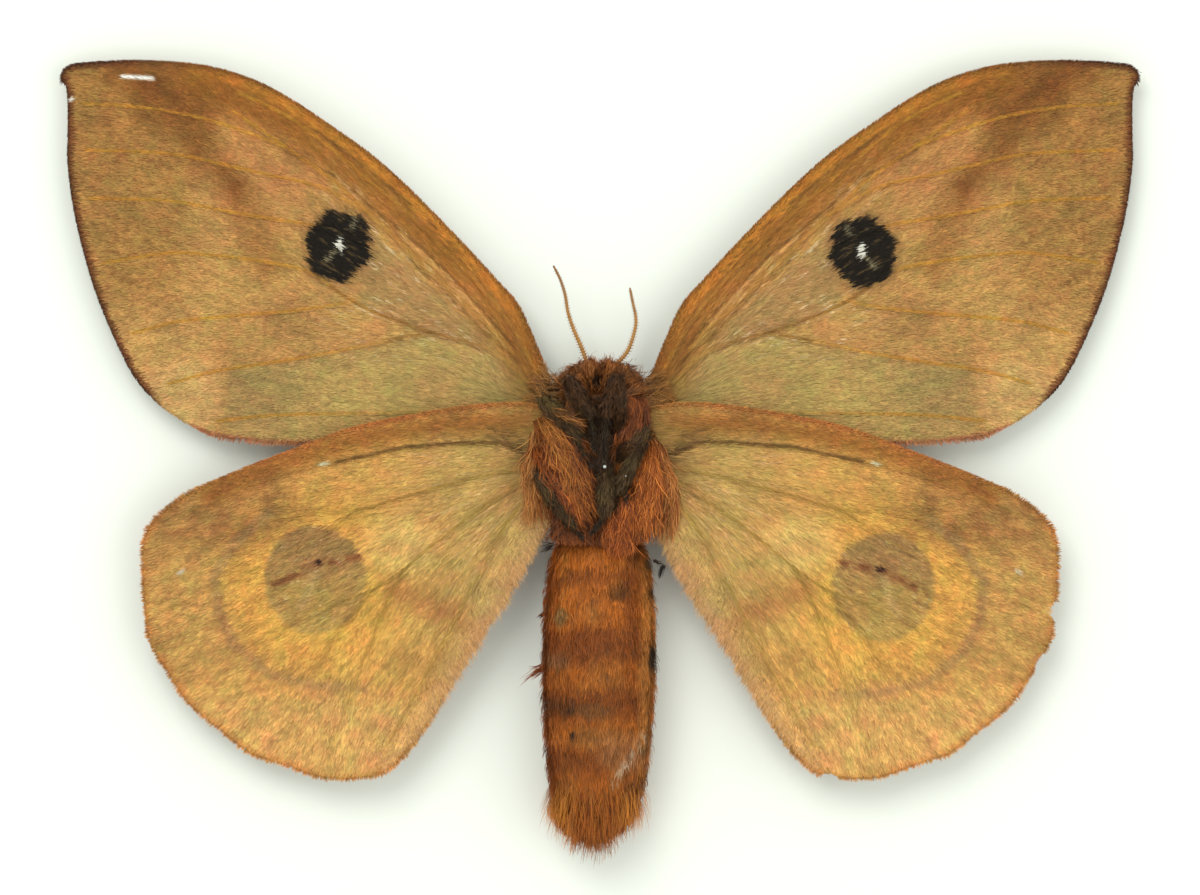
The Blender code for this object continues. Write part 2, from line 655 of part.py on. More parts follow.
def eye_ball(name, side, radius, collection):
    work = bmesh.new()
    bmesh.ops.create_uvsphere(work, u_segments=14, v_segments=9, radius=radius * MM)
    x, y, z = EYE_PLACE
    bmesh.ops.translate(work, verts=work.verts, vec=Vector((side * x, y, z)) * MM)
    return object_from(name, mesh_from_bmesh(name, work), collection)


def build_head(look, parts):
    head = body_loft("head", HEAD_SECTIONS, HEAD_RINGS, parts)
    sockets = [eye_ball("socket", side, EYE_RADIUS + GAP, parts) for side in (-1, 1)]
    return finish(combine(head, "DIFFERENCE", sockets), look, parts)


def head_clearance(parts):
    return body_loft("head_clearance", HEAD_SECTIONS, HEAD_RINGS, parts, GAP)


def build_antenna(name, path, look, parts):
    line = spline(path, 2)
    radii = np.linspace(ANTENNA_ROOT_RADIUS, ANTENNA_TIP_RADIUS, len(line))
    feeler = tube(name, line, radii, 8, parts)
    return finish(combine(feeler, "DIFFERENCE", [head_clearance(parts)]), look, parts)


def build_palp(name, side, look, parts):
    line = spline([(side * x, y, z) for x, y, z in PALP], 2)
    shares = np.linspace(0, 1, len(line))
    radii = PALP_RADIUS * (1 - 0.45 * shares ** 3)
    palp = tube(name, line, radii, 8, parts)
    return finish(combine(palp, "DIFFERENCE", [head_clearance(parts)]), look, parts)


def limb_radii(radius, count):
    """A limb piece swells a little at its middle and closes at both ends."""
    shares = np.linspace(0, 1, count)
    return [radius * (0.45 + 0.55 * math.sin(math.pi * min(max(s, 0.06), 0.94)) ** 0.5) for s in shares]


def build_leg(name, joints, look, parts):
    pieces = []
    for piece, places in joints.items():
        line = evenly(spline(places, 4), 1.1) if piece == "tarsus" else spline(places, 5)
        radii = limb_radii(LEG_RADII[piece], len(line))
        sides = 6 if piece == "tarsus" else 8
        pieces.append(tube(name if not pieces else piece, line, radii, sides, parts))
    leg = combine(pieces[0], "UNION", pieces[1:])
    cutter = body_loft("thorax_clearance", THORAX_SECTIONS, THORAX_RINGS, parts, GAP)
    return finish(combine(leg, "DIFFERENCE", [cutter]), look, parts)


def main():
    clear_scene()
    parts = new_collection("automeris_zugana")
    forewing_look = material("forewing_scales", (0.47, 0.25, 0.09), 0.75)
    hindwing_look = material("hindwing_scales", (0.56, 0.31, 0.1), 0.75)
    thorax_look = material("thorax_hair", (0.28, 0.1, 0.025), 0.85)
    abdomen_look = material("abdomen_hair", (0.3, 0.11, 0.025), 0.85)
    head_look = material("head_hair", (0.12, 0.05, 0.015), 0.85)
    leg_look = material("leg_hair", (0.045, 0.03, 0.012), 0.7)
    eye_look = material("eye", (0.01, 0.007, 0.005), 0.15)
    antenna_look = material("antenna", (0.42, 0.24, 0.06), 0.5)

    build_thorax(thorax_look, parts)
    build_abdomen(abdomen_look, parts)
    build_head(head_look, parts)
    for side_name, side in SIDES.items():
        build_wing(f"forewing_{side_name}", side, FOREWING_OUTLINE, FOREWING_VEINS,
                   forewing_height, forewing_look, parts)
        build_wing(f"hindwing_{side_name}", side, HINDWING_OUTLINE, HINDWING_VEINS,
                   hindwing_height, hindwing_look, parts)
        finish(eye_ball(f"eye_{side_name}", side, EYE_RADIUS, parts), eye_look, parts)
        build_palp(f"palp_{side_name}", side, head_look, parts)
        build_antenna(f"antenna_{side_name}", ANTENNAS[side_name], antenna_look, parts)
    for name, joints in LEGS.items():
        build_leg(name, joints, leg_look, parts)


main()
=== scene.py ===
"""Looks of a spread silk moth lying on its back: skins, coats of scales and hair, eyes, feelers and light.

Lengths are in millimetres and colours in sRGB from 0 to 255 until they reach Blender. Left and right are
the moth's own, with its left at +X and its head at +Y. Its underside faces up.
"""

import math
from collections import namedtuple

import bpy
import numpy as np
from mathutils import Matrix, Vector
from mathutils.geometry import delaunay_2d_cdt


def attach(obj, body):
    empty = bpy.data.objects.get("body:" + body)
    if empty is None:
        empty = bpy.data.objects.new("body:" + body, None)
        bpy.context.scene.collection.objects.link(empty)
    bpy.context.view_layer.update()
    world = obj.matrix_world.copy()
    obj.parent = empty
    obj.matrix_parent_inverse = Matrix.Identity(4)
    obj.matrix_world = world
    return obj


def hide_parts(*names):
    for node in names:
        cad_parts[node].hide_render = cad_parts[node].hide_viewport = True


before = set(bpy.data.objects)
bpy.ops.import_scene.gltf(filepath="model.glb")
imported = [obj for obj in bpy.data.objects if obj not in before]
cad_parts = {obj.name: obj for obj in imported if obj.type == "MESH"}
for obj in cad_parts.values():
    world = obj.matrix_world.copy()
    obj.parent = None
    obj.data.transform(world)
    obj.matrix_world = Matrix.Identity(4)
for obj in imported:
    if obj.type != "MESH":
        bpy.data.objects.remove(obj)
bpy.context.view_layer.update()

MM = 0.001
SIDES = {"left": 1, "right": -1}
SEED = 11
UP = np.array([0.0, 0.0, 1.0])

# How dark a strip's root is, as painted shade among the strips, and how light its tip is, as painted light,
# for hair and for scales, and the size of its patch in UV.
HAIR_SHADES = (0.72, 1.12)
SCALE_SHADES = (0.9, 1.03)
PATCH = 0.003
# How far the wings' scales vary between rosier and greener, for red, green and blue.
TINT = (0.022, -0.022, 0.0)

# The camera: how many millimetres the photo is wide, the middle of it, and the heights of lens and focus.
PHOTO_WIDTH = 124.2
PHOTO_CENTRE = (0.0, 1.242)
CAMERA_HEIGHT = 600.0
FOCUS_HEIGHT = 4.0
SENSOR_WIDTH = 36.0

# The even light all round, and the places, in metres, and powers of the two soft lamps.
WORLD_COLOUR = (0.97, 1.0, 0.99, 1)
WORLD_LIGHT = 0.86
KEY_PLACE = (-0.25, 0.45, 0.75)
KEY_POWER = 3.0
FILL_PLACE = (0.5, -0.1, 0.7)
FILL_POWER = 1.15
# The paper's linear colour, and the floor's width in metres.
PAPER = (0.90, 0.93, 0.84, 1)
FLOOR_SIZE = 3.0

# Outlines of the wings, as on the left side, from the front of the root round the tip.
FOREWING_OUTLINE = (
    (4.1, 4.6), (4.9, 6.4), (5.1, 8.3), (5.5, 9.6), (6.6, 12.3), (8.3, 16.0), (10.7, 18.8), (14.4, 22.8),
    (19.3, 27.8), (23.4, 31.5), (27.7, 34.6), (32.1, 37.5), (36.2, 39.6), (41.3, 41.0), (47.6, 41.5),
    (53.0, 41.3), (55.2, 40.9), (56.0, 39.7), (55.5, 38.6), (55.3, 36.9), (55.3, 33.5), (55.3, 30.5),
    (54.5, 25.0), (52.6, 17.9), (50.0, 11.6), (47.7, 7.6), (44.4, 4.6), (40.4, 2.5), (36.7, 1.9),
    (32.6, 1.6), (20.7, 1.4), (10.3, 1.2), (4.1, 1.0),
)
HINDWING_OUTLINE = (
    (4.1, 4.9), (6.4, 5.8), (10.3, 6.0), (15.0, 5.5), (21.4, 4.4), (26.4, 3.2), (30.9, 1.5), (35.2, -0.1),
    (40.0, -2.1), (43.5, -4.0), (45.9, -6.0), (47.2, -8.3), (47.3, -12.0), (47.1, -14.9), (46.6, -18.8),
    (44.5, -22.3), (42.3, -25.5), (39.2, -28.0), (36.1, -30.4), (32.4, -31.6), (28.6, -32.9),
    (24.5, -32.9), (21.9, -32.2), (19.5, -29.8), (17.1, -26.5), (14.7, -22.3), (12.2, -18.2),
    (9.7, -14.5), (7.5, -10.6), (5.7, -7.3), (4.1, -4.7),
)
FOREWING_VEINS = {
    "subcosta": ((6.3, 8.7), (8.7, 13.1), (11.9, 17.4), (16.6, 22.3), (20.7, 26.2), (26.4, 31.0),
                 (31.6, 35.1), (37.3, 38.0)),
    "radius": ((7.2, 8.6), (10.3, 12.6), (13.9, 16.0), (19.0, 20.9), (23.8, 25.4), (27.7, 28.9),
               (32.6, 32.4), (37.8, 36.0)),
    "radial_fork": ((32.6, 32.4), (39.6, 34.9), (44.7, 36.1), (49.5, 36.7), (53.6, 36.9)),
    "media_1": ((23.8, 25.4), (28.9, 28.2), (34.5, 29.5), (39.6, 30.7), (44.7, 31.7), (53.4, 32.1)),
    "media_2": ((23.8, 22.3), (29.7, 24.2), (34.5, 25.0), (39.6, 25.9), (44.7, 26.8), (52.8, 27.1)),
    "media_3": ((27.7, 17.9), (30.5, 19.6), (35.6, 20.6), (39.6, 21.1), (44.7, 21.4), (51.4, 20.4)),
    "cubitus": ((7.4, 7.6), (9.3, 9.8), (11.9, 11.5), (17.1, 13.1), (21.7, 14.6), (25.4, 16.3),
                (27.7, 17.9)),
    "cubitus_1": ((25.4, 16.3), (31.7, 15.4), (37.7, 14.9), (43.6, 14.3), (48.4, 13.1)),
    "cubitus_2": ((17.1, 13.1), (21.7, 12.3), (27.7, 11.1), (33.6, 10.1), (39.6, 9.2), (44.5, 7.9)),
    "anal": ((7.4, 5.6), (10.3, 5.3), (15.8, 5.0), (23.8, 4.8), (33.6, 4.6), (39.6, 4.0)),
}
HINDWING_VEINS = {
    "subcosta": ((7.4, 0.8), (9.2, 1.5), (13.1, 1.6), (18.1, 1.4), (23.1, 0.5), (28.0, -0.4),
                 (33.0, -1.5), (39.6, -4.0), (43.4, -5.9)),
    "radius": ((7.4, -0.9), (10.3, -1.3), (14.8, -2.3), (19.8, -3.7), (24.7, -5.1), (29.7, -5.5),
               (35.2, -6.5), (40.4, -8.3), (45.2, -10.2)),
    "media_1": ((24.7, -5.1), (28.0, -7.3), (33.0, -10.1), (38.3, -12.7), (45.0, -15.6)),
    "media_2": ((26.4, -14.5), (30.6, -16.2), (35.2, -18.7), (39.8, -21.6), (42.0, -23.2)),
    "cubitus": ((7.4, -2.1), (11.6, -4.6), (15.8, -7.7), (19.8, -10.9), (23.1, -13.2), (26.4, -14.5)),
    "cubitus_1": ((23.1, -13.2), (26.4, -17.2), (30.0, -21.8), (33.6, -27.0), (35.0, -28.9)),
    "cubitus_2": ((19.8, -10.9), (22.3, -15.6), (24.8, -21.8), (27.1, -28.0), (27.9, -30.9)),
    "anal_1": ((7.6, -4.1), (9.9, -7.3), (13.1, -13.0), (16.6, -19.7), (20.2, -26.4), (22.0, -29.4)),
}

# Heights of the wings' middle surfaces over the floor: at the root, at the tip, the arch between them, and
# the drop for each millimetre towards the rear.
WING_ROOT_X = 5.0
WING_TIP_X = 56.0
WING_HEIGHTS = {"fore": (4.3, 2.5, 0.5, 0.0), "hind": (6.2, 4.1, 0.6, 0.035)}

# The membranes: half their thickness, how a vein stands up from the underside, and how much of that it
# stands up from the upper side.
MEMBRANE_HALF = 0.09
VEIN_RISE = 0.26
VEIN_HALF_WIDTH = 0.32
TOP_RISE_SHARE = 0.4
SHEET_SPACING = 0.6
FRINGE_DEPTH = 0.3
# How much further in the hindwing's membrane ends on its inner edge, which long hair covers.
INNER_INSET = 1.3
# The scales: how far apart their roots are on each side, and how far their tips lift.
SCALE_SPACING = 0.16
TOP_SCALE_SPACING = 0.32
SCALE_LIFT = 0.14
# Long hair of the hindwing's inner edge: how many hairs, how far in their roots reach, and how many points
# at the outline's end make up that edge.
INNER_HAIRS = 6000
INNER_HAIR_DEPTH = 3.0
INNER_EDGE_POINTS = 9
# Small nicks in the left hindwing's outer edge: place and reach.
NOTCHES = {("hind", 1): ((47.1, -15.6, 1.0), (45.9, -21.0, 1.0), (23.6, -33.0, 0.9))}

# Where each wing's scales fan out from.
FLOW_ROOTS = {"fore": (4, 5), "hind": (5, -1)}
# Marks of the forewing's underside. The streaks are dark scales along the front veins, with a light one
# between them, and the spots are the eyespots' centres.
FOREWING_LINES = {
    "front": ((14, 24), (24, 32), (34, 37.5), (48, 40)),
    "band": ((50, 40.6), (45.0, 38.2), (42.5, 35), (40.3, 30.5), (37.8, 27.8), (35.8, 23.8), (34.2, 20.4)),
    "costa": ((5.8, 8.8), (9.0, 14.6), (14.9, 21.4), (23.7, 30.0), (32.4, 36.0), (41, 39.8)),
    "light streak": ((9.2, 11.0), (12.4, 15.2), (15.3, 18.5), (20.3, 22.9)),
}
FOREWING_STREAKS = (((8.5, 11.1), (13.2, 16.8), (17.6, 21.2), (23.0, 25.6), (27.4, 29.3), (32.8, 32.0)),
                    ((7.8, 9.4), (10.9, 12.1), (15.2, 16.5), (19.4, 20.4)),
                    ((12.6, 19.4), (18.4, 25.4), (24.2, 30.2), (29.6, 34.2)))
FOREWING_SPOTS = {1: (27.1, 21.4), -1: (26.96, 22.05)}
# Near-white marks at the right forewing's tip: line and half width.
WHITE_TIP_MARKS = ((((46.4, 39.5), (49.4, 39.7)), 0.42), (((54.6, 37.5), (55.0, 37.2)), 0.3))
# Marks of the hindwing's underside. The pale streak is measured from the eyespot's centre.
HINDWING_LINES = {
    "front strip": ((7.4, 3.6), (15, 3.8), (24, 2.4), (32, 0.2), (40, -3.2)),
    "inner shade": ((14.0, -16.0), (17.6, -14.6), (20.8, -13.2)),
    "inner part": ((7.0, -6), (10.0, -12.0), (13, -17.0), (17.5, -25)),
    "fold": ((8.4, -6.6), (10.4, -10.4), (13.2, -16.0)),
    "ring": ((34.2, -6.4), (37.6, -9.3), (39.6, -12.7), (39.3, -16.4), (37.6, -19.8), (33.9, -22.9),
             (29.1, -24.0), (24.0, -24.2)),
    "pale streak": ((0.0, 0.9), (0.6, -1.2), (1.4, -2.8)),
    "root spots": ((6.6, 0.6), (8.2, 2.2), (10.0, 2.6)),
    "dark vein": ((6.6, 0.5), (9.2, 1.6), (13.1, 1.8), (20, 1.3), (27, -0.2)),
}
HINDWING_SPOTS = {1: (29.2, -13.1), -1: (29.3, -12.4)}

# Sections of the body at the coat's surface: place along Y, half width, lowest and highest z. The skin
# lies inside them by the coat's depth.
THORAX_SECTIONS = (
    (6.3, 3.6, 1.9, 8.4), (5.4, 4.3, 1.0, 9.4), (3.4, 4.8, 0.1, 10.2), (0.4, 5.0, -0.4, 10.8),
    (-3.2, 5.0, -0.4, 10.6), (-6.2, 4.6, -0.2, 9.9), (-8.1, 4.2, 0.5, 9.0),
)
HEAD_SECTIONS = (
    (9.7, 1.2, 4.0, 6.1), (9.35, 2.4, 3.3, 6.9), (8.6, 3.4, 2.6, 7.7), (7.6, 4.0, 2.1, 8.3),
    (6.7, 3.9, 2.1, 8.4),
)
NECK_SECTIONS = ((7.4, 4.1, 2.0, 8.6), (6.6, 4.3, 2.1, 8.4), (5.6, 4.4, 1.6, 8.8))
WAIST_SECTIONS = ((-7.0, 4.3, 0.3, 9.4), (-8.4, 4.3, 0.5, 9.1), (-9.6, 4.7, 0.0, 9.5))
# The abdomen's skin ends before the solid does, because the tuft reaches on from there.
ABDOMEN_SECTIONS = (
    (-8.4, 4.4, 0.5, 9.2), (-10.6, 5.1, -0.3, 9.9), (-14.5, 5.6, -0.5, 10.4), (-19.7, 5.8, -0.5, 10.6),
    (-24.9, 5.7, -0.5, 10.5), (-30.1, 5.4, -0.4, 10.0), (-34.2, 4.8, -0.1, 9.1), (-36.2, 4.2, 0.4, 8.4),
    (-37.6, 3.4, 1.1, 7.6), (-38.8, 2.3, 2.1, 6.6), (-39.7, 0.9, 3.4, 5.2),
)
# The abdomen's segments: where they meet along Y, and how far each one's rear stands out.
SEGMENT_EDGES = (-8.4, -12.8, -18.8, -25.1, -30.3, -34.4, -37.4)
SEGMENT_RISE = 0.05
# How the abdomen's end leans to its right: places along Y, and the middle's x there.
ABDOMEN_BEND = ((-41.7, -36.0, -33.0, -8.4), (-0.75, -0.6, -0.25, 0.0))
# How dark the abdomen's bands are: place along Y, and strength.
ABDOMEN_BANDS = (
    (-8.4, 0.5), (-9.6, 0.0), (-10.8, 0.1), (-12.2, 0.55), (-13.4, 0.1), (-16.9, 0.1), (-17.8, 0.7),
    (-20.0, 0.75), (-21.4, 0.25), (-23.0, 0.3), (-24.0, 0.75), (-25.9, 0.7), (-27.4, 0.15), (-29.0, 0.1),
    (-30.0, 0.65), (-31.5, 0.65), (-32.9, 0.25), (-42.0, 0.25),
)
# Stains of the abdomen's hair: centre, half sizes, colour and strength.
STAINS = (((1.9, -13.5), (1.1, 0.8), (76, 46, 20), 0.6), ((-3.9, -16.1), (0.8, 0.6), (120, 104, 70), 0.6),
          ((-4.7, -20.7), (1.2, 1.0), (140, 98, 66), 0.6), ((-3.9, -25.2), (1.8, 1.0), (80, 50, 24), 0.55),
          ((-0.9, -25.6), (1.9, 0.7), (116, 84, 46), 0.5), ((-0.6, -28.2), (2.4, 1.0), (134, 90, 46), 0.5),
          ((2.4, -29.8), (2.8, 2.0), (184, 132, 88), 0.45), ((4.2, -33.6), (1.8, 0.9), (92, 54, 22), 0.5),
          ((5.7, -13.6), (0.5, 1.2), (36, 28, 18), 0.85), ((5.5, -20.3), (0.5, 1.3), (40, 32, 20), 0.8),
          ((5.6, -27.2), (0.4, 1.8), (36, 28, 18), 0.85), ((5.1, -9.4), (0.7, 1.6), (48, 38, 24), 0.8),
          ((3.2, -9.0), (0.8, 1.4), (86, 48, 20), 0.6), ((-5.0, -8.9), (0.6, 1.0), (40, 28, 16), 0.7))
ABDOMEN_SPECKS = ((4.5, -29.9), (4.76, -32.4), (-2.9, -25.6), (-2.8, -28.2))
# Where the abdomen's coat starts along Y, the height that parts its underside from its back, where
# the tuft starts, and how far back the tuft's middle reaches.
ABDOMEN_START = -7.9
ABDOMEN_SPLIT = 5.4
TUFT_START = -33.2
TUFT_END = 39.3
# How deep the coats are over the skin, and how fine the skin's mesh is.
COAT_DEPTH = 0.4
ABDOMEN_COAT_DEPTH = 0.28
HEAD_COAT_DEPTH = 0.3
BODY_VOXEL = 0.19
# The level that parts hair over the wings from hair under them, and how far both keep off the wings'
# middle surfaces.
WING_LEVEL = 5.6
WING_CLEARANCE = 0.75
# The broad bases of the legs, which bulge from the breast: centre, half sizes and turn.
COXA_PLATES = (((3.0, 4.7, 9.2), (1.6, 2.6, 1.4), 0.2), ((-2.5, 5.2, 9.2), (1.3, 2.0, 1.2), -0.25),
               ((2.6, 0.6, 9.7), (1.3, 2.2, 1.1), 0.1), ((-2.6, 0.4, 9.7), (1.3, 2.2, 1.1), -0.1),
               ((1.8, -4.4, 9.4), (1.2, 1.8, 1.1), 0.0), ((-1.8, -4.2, 9.4), (1.2, 1.8, 1.1), 0.0))
# The red-haired one of them, seen from above: centre and half sizes.
BREAST_PLATE = ((3.2, 4.6), (1.9, 2.8))
# The eyes: their globe, its place on the left, and the half sizes of the skin under it.
EYE_RADIUS = 1.3
EYE_PLACE = (3.25, 7.95, 5.3)
EYE_SOCKET = (1.1, 1.2, 1.2)
PALP = ((0.75, 7.0, 7.2), (0.85, 8.1, 8.3), (0.85, 9.0, 8.1), (0.7, 9.6, 7.4))
PALP_RADIUS = 0.5
ANTENNAS = {
    "left": ((1.2, 8.3, 4.1), (1.66, 9.7, 4.0), (2.9, 11.3, 4.1), (3.6, 13.4, 4.2), (3.7, 14.7, 4.3),
             (3.4, 16.2, 4.4), (3.1, 17.7, 4.4)),
    "right": ((-1.0, 8.3, 4.1), (-1.24, 9.6, 4.0), (-1.8, 11.3, 4.1), (-2.7, 13.4, 4.3), (-3.3, 15.2, 4.5),
              (-3.6, 17.0, 4.7), (-4.1, 18.6, 4.8), (-4.8, 20.0, 4.8)),
}
ANTENNA_RING_STEPS = 5
LEGS = {
    "foreleg_left": {
        "coxa": ((1.5, 2.6, 9.3), (1.9, 4.4, 11.0)),
        "femur": ((1.9, 4.4, 11.0), (1.75, 8.5, 9.7)),
        "tibia": ((1.75, 8.5, 9.7), (0.8, 5.2, 11.8)),
        "tarsus": ((0.8, 5.2, 11.8), (0.5, 2.6, 12.1), (0.4, 0.0, 12.2)),
    },
    "foreleg_right": {
        "coxa": ((-1.4, 2.8, 9.3), (-1.6, 5.0, 10.8)),
        "femur": ((-1.6, 5.0, 10.8), (-3.3, 8.4, 8.9)),
        "tibia": ((-3.3, 8.4, 8.9), (-1.3, 5.0, 11.5)),
        "tarsus": ((-1.3, 5.0, 11.5), (-0.75, 3.0, 12.0), (-0.6, 1.1, 12.1)),
    },
    "midleg_left": {
        "coxa": ((1.9, 0.2, 9.4), (2.7, 1.0, 11.3)),
        "femur": ((2.7, 1.0, 11.3), (4.8, 2.9, 10.0)),
        "tibia": ((4.8, 2.9, 10.0), (3.4, 0.2, 11.3), (2.2, -2.7, 11.5)),
        "tarsus": ((2.2, -2.7, 11.5), (2.7, -3.9, 11.2), (2.9, -5.0, 10.8)),
    },
    "midleg_right": {
        "coxa": ((-1.9, 0.2, 9.5), (-2.8, 1.2, 11.0)),
        "femur": ((-2.8, 1.2, 11.0), (-4.6, 4.2, 10.0), (-5.7, 6.2, 8.9)),
        "tibia": ((-5.7, 6.2, 8.9), (-3.9, 4.3, 10.6), (-2.5, 2.6, 11.7)),
        "tarsus": ((-2.5, 2.6, 11.7), (-1.9, 1.0, 12.0), (-1.0, -0.5, 12.0)),
    },
    "hindleg_left": {
        "coxa": ((1.0, -5.3, 9.1), (1.2, -4.4, 11.2)),
        "femur": ((1.2, -4.4, 11.2), (0.5, -1.6, 11.7)),
        "tibia": ((0.5, -1.6, 11.7), (0.5, -5.0, 11.9)),
        "tarsus": ((0.5, -5.0, 11.9), (0.1, -6.3, 11.2), (-0.8, -7.4, 10.7)),
    },
    "hindleg_right": {
        "coxa": ((-1.8, -3.2, 9.4), (-2.5, -2.9, 11.1)),
        "femur": ((-2.5, -2.9, 11.1), (-6.4, -1.7, 9.7)),
        "tibia": ((-6.4, -1.7, 9.7), (-4.4, -4.4, 10.5), (-3.1, -6.1, 11.0)),
        "tarsus": ((-3.1, -6.1, 10.9), (-2.6, -7.0, 10.7), (-2.0, -7.8, 10.4)),
    },
}
LEG_RADII = {"coxa": 0.8, "femur": 0.64, "tibia": 0.66, "tarsus": 0.32}
# A claw's line: how far on, how far out and how far down from the foot's end.
CLAW = ((0.1, 0.05, 0.0), (0.3, 0.16, 0.0), (0.45, 0.22, 0.1), (0.5, 0.24, 0.24))
# Tiny glossy drops on the breast: place and radius.
GLINTS = (((0.48, -0.71, 12.5), 0.17), ((2.64, -1.68, 12.2), 0.07))

# Colours of the wings' undersides.
COPPER = (175, 117, 55)
TAN = (163, 119, 61)
PINK_TAN = (188, 143, 80)
OLIVE = (177, 148, 85)
SHADE = (126, 76, 31)
COSTA = (149, 95, 36)
COSTA_EDGE = (196, 126, 46)
VEIN = (180, 126, 42)
MARGIN = (106, 62, 32)
SPOT = (21, 16, 8)
PUPIL = (225, 222, 205)
OCHRE = (203, 154, 80)
GOLD = (216, 164, 76)
CREAM = (182, 147, 83)
FRONT_BROWN_AND_SHADE = (148, 89, 35)
# Reddish brown of the hindwing's front strip, darkened as painted shade where the forewing lies beneath.
GREY = (158, 122, 78)
PINK_HAIR = (222, 170, 122)
PEACH = (217, 171, 98)

# The body's coats of hair: the slot, how far apart the roots are, how wide a hair is and in how many straight
# stretches, how many clumps the hair falls into and how far they draw it in, and how far a tip droops.
Coat = namedtuple("Coat", "slot spacing width stretches clumps pull droop")
COATS = {
    "thorax_coat": Coat("thorax_hair", 0.165, 0.1, 4, 420, 0.4, 0.1),
    "abdomen_coat_under": Coat("abdomen_hair", 0.14, 0.084, 3, 1200, 0.38, 0.05),
    "abdomen_coat_top": Coat("abdomen_hair", 0.23, 0.138, 3, 1200, 0.38, 0.05),
    "abdomen_tuft": Coat("abdomen_hair", 0.15, 0.055, 4, 420, 0.4, 0.0),
    "head_coat": Coat("head_hair", 0.105, 0.09, 3, 500, 0.4, 0.2),
    "leg_coat": Coat("leg_hair", 0.11, 0.08, 3, 0, 0.0, 0.0),
}

# Long hair in streams: a guide line, its half width at the start, middle and end, how many hairs, and its
# light and dark colours. Each stream's hairs lie in this many strands, and none rises over the top.
STRANDS = 60
HAIR_TOP = 12.6
STREAMS = {
    "right hip": (
        ((-5.9, 4.5, 9.0), (-4.6, 2.4, 11.6), (-3.0, -0.4, 12.4), (-1.4, -4.9, 11.9)),
        (0.9, 1.7, 0.9), 2700, (192, 112, 44), (92, 46, 18)),
    "right hip's outer side": (
        ((-6.2, 1.6, 8.8), (-5.4, -0.6, 10.8), (-4.0, -2.8, 11.6), (-2.5, -5.2, 11.6)),
        (0.7, 1.0, 0.7), 1300, (184, 98, 38), (90, 42, 18)),
    "left hip": (
        ((4.9, 2.4, 9.6), (5.0, -0.8, 10.9), (4.7, -3.6, 11.0), (4.0, -6.9, 10.4)),
        (0.7, 1.2, 1.4), 2300, (216, 126, 50), (132, 64, 24)),
    "left hip's inner side": (
        ((2.7, -2.8, 11.0), (2.5, -4.6, 11.4), (2.2, -6.6, 11.0), (2.0, -8.6, 10.4)),
        (0.9, 1.3, 1.3), 1300, (204, 112, 44), (120, 56, 22)),
    "waist, right": (
        ((-2.6, -5.0, 10.8), (-2.8, -6.4, 10.5), (-2.9, -7.8, 10.2)),
        (1.8, 2.2, 2.2), 800, (150, 80, 30), (72, 38, 18)),
    "waist, left": (
        ((1.9, -5.2, 11.0), (2.1, -6.6, 10.7), (2.3, -8.0, 10.4)),
        (2.0, 2.4, 2.4), 900, (176, 94, 34), (92, 48, 20)),
    "left breast": (
        ((2.5, 7.3, 9.5), (3.3, 5.0, 10.9), (3.1, 2.6, 11.2)),
        (0.9, 1.4, 1.1), 800, (162, 88, 38), (92, 46, 20)),
    "right hindwing's root": (
        ((-5.4, 3.6, 8.6), (-6.3, 1.0, 8.2), (-6.7, -2.2, 7.7), (-6.3, -5.6, 7.3)),
        (0.7, 1.2, 1.3), 1100, (214, 146, 76), (150, 86, 38)),
    "left hindwing's root": (
        ((5.0, 2.4, 8.8), (6.0, -0.6, 8.2), (6.5, -3.8, 7.7), (6.3, -7.2, 7.2)),
        (0.7, 1.2, 1.4), 1200, (218, 144, 74), (152, 84, 36)),
    "across the right midleg": (
        ((-6.3, 5.7, 9.2), (-5.0, 4.8, 10.9), (-3.7, 4.3, 11.9), (-2.8, 3.9, 12.2)),
        (0.3, 0.5, 0.3), 200, (176, 112, 50), (100, 62, 30)),
    "right hip, golden": (
        ((-5.9, 4.6, 10.2), (-4.7, 2.6, 12.0), (-3.6, 0.2, 12.5), (-2.6, -2.6, 12.4)),
        (0.5, 0.7, 0.6), 460, (204, 132, 56), (136, 76, 30)),
    "right forewing's root": (
        ((-3.6, 6.9, 8.4), (-4.8, 7.0, 7.6), (-6.6, 7.6, 6.2)),
        (1.1, 1.5, 1.8), 240, (170, 118, 56), (120, 76, 34)),
    "left forewing's root": (
        ((3.8, 6.7, 8.4), (4.8, 6.8, 7.6), (6.6, 7.4, 6.2)),
        (1.1, 1.5, 1.8), 240, (170, 118, 56), (120, 76, 34)),
    "right shoulder": (
        ((-3.5, 7.6, 7.4), (-4.4, 7.2, 6.8), (-5.2, 6.9, 6.0)),
        (0.5, 0.7, 0.7), 420, (116, 70, 30), (66, 38, 20)),
    "left shoulder": (
        ((3.5, 7.6, 7.4), (4.4, 7.2, 6.8), (5.2, 6.9, 6.0)),
        (0.5, 0.7, 0.7), 420, (116, 70, 30), (66, 38, 20)),
}

# Loose bits at the abdomen's sides: start, end, how many hairs, spread and colour.
STRAYS = (((-5.5, -21.2, 6.0), (-6.9, -22.2, 6.2), 40, 0.3, (128, 62, 26)),
          ((-6.3, -21.6, 6.0), (-7.9, -22.9, 5.8), 9, 0.35, (150, 76, 34)),
          ((6.6, -11.0, 6.4), (6.15, -12.2, 6.2), 26, 0.06, (36, 26, 16)),
          ((5.5, -10.4, 6.0), (6.7, -10.9, 6.4), 7, 0.3, (60, 40, 22)),
          ((-4.9, -8.8, 7.0), (-6.0, -9.3, 6.8), 16, 0.25, (36, 24, 14)),
          ((-5.6, -15.8, 6.0), (-6.3, -16.2, 6.0), 20, 0.12, (92, 46, 22)))

# Colours of the upper sides, which lie on the floor.
TOP_BROWN = (150, 112, 82)
TOP_DARK = (96, 66, 48)
TOP_ROSE = (176, 120, 92)
TOP_YELLOW = (216, 152, 52)
TOP_BLACK = (26, 20, 18)

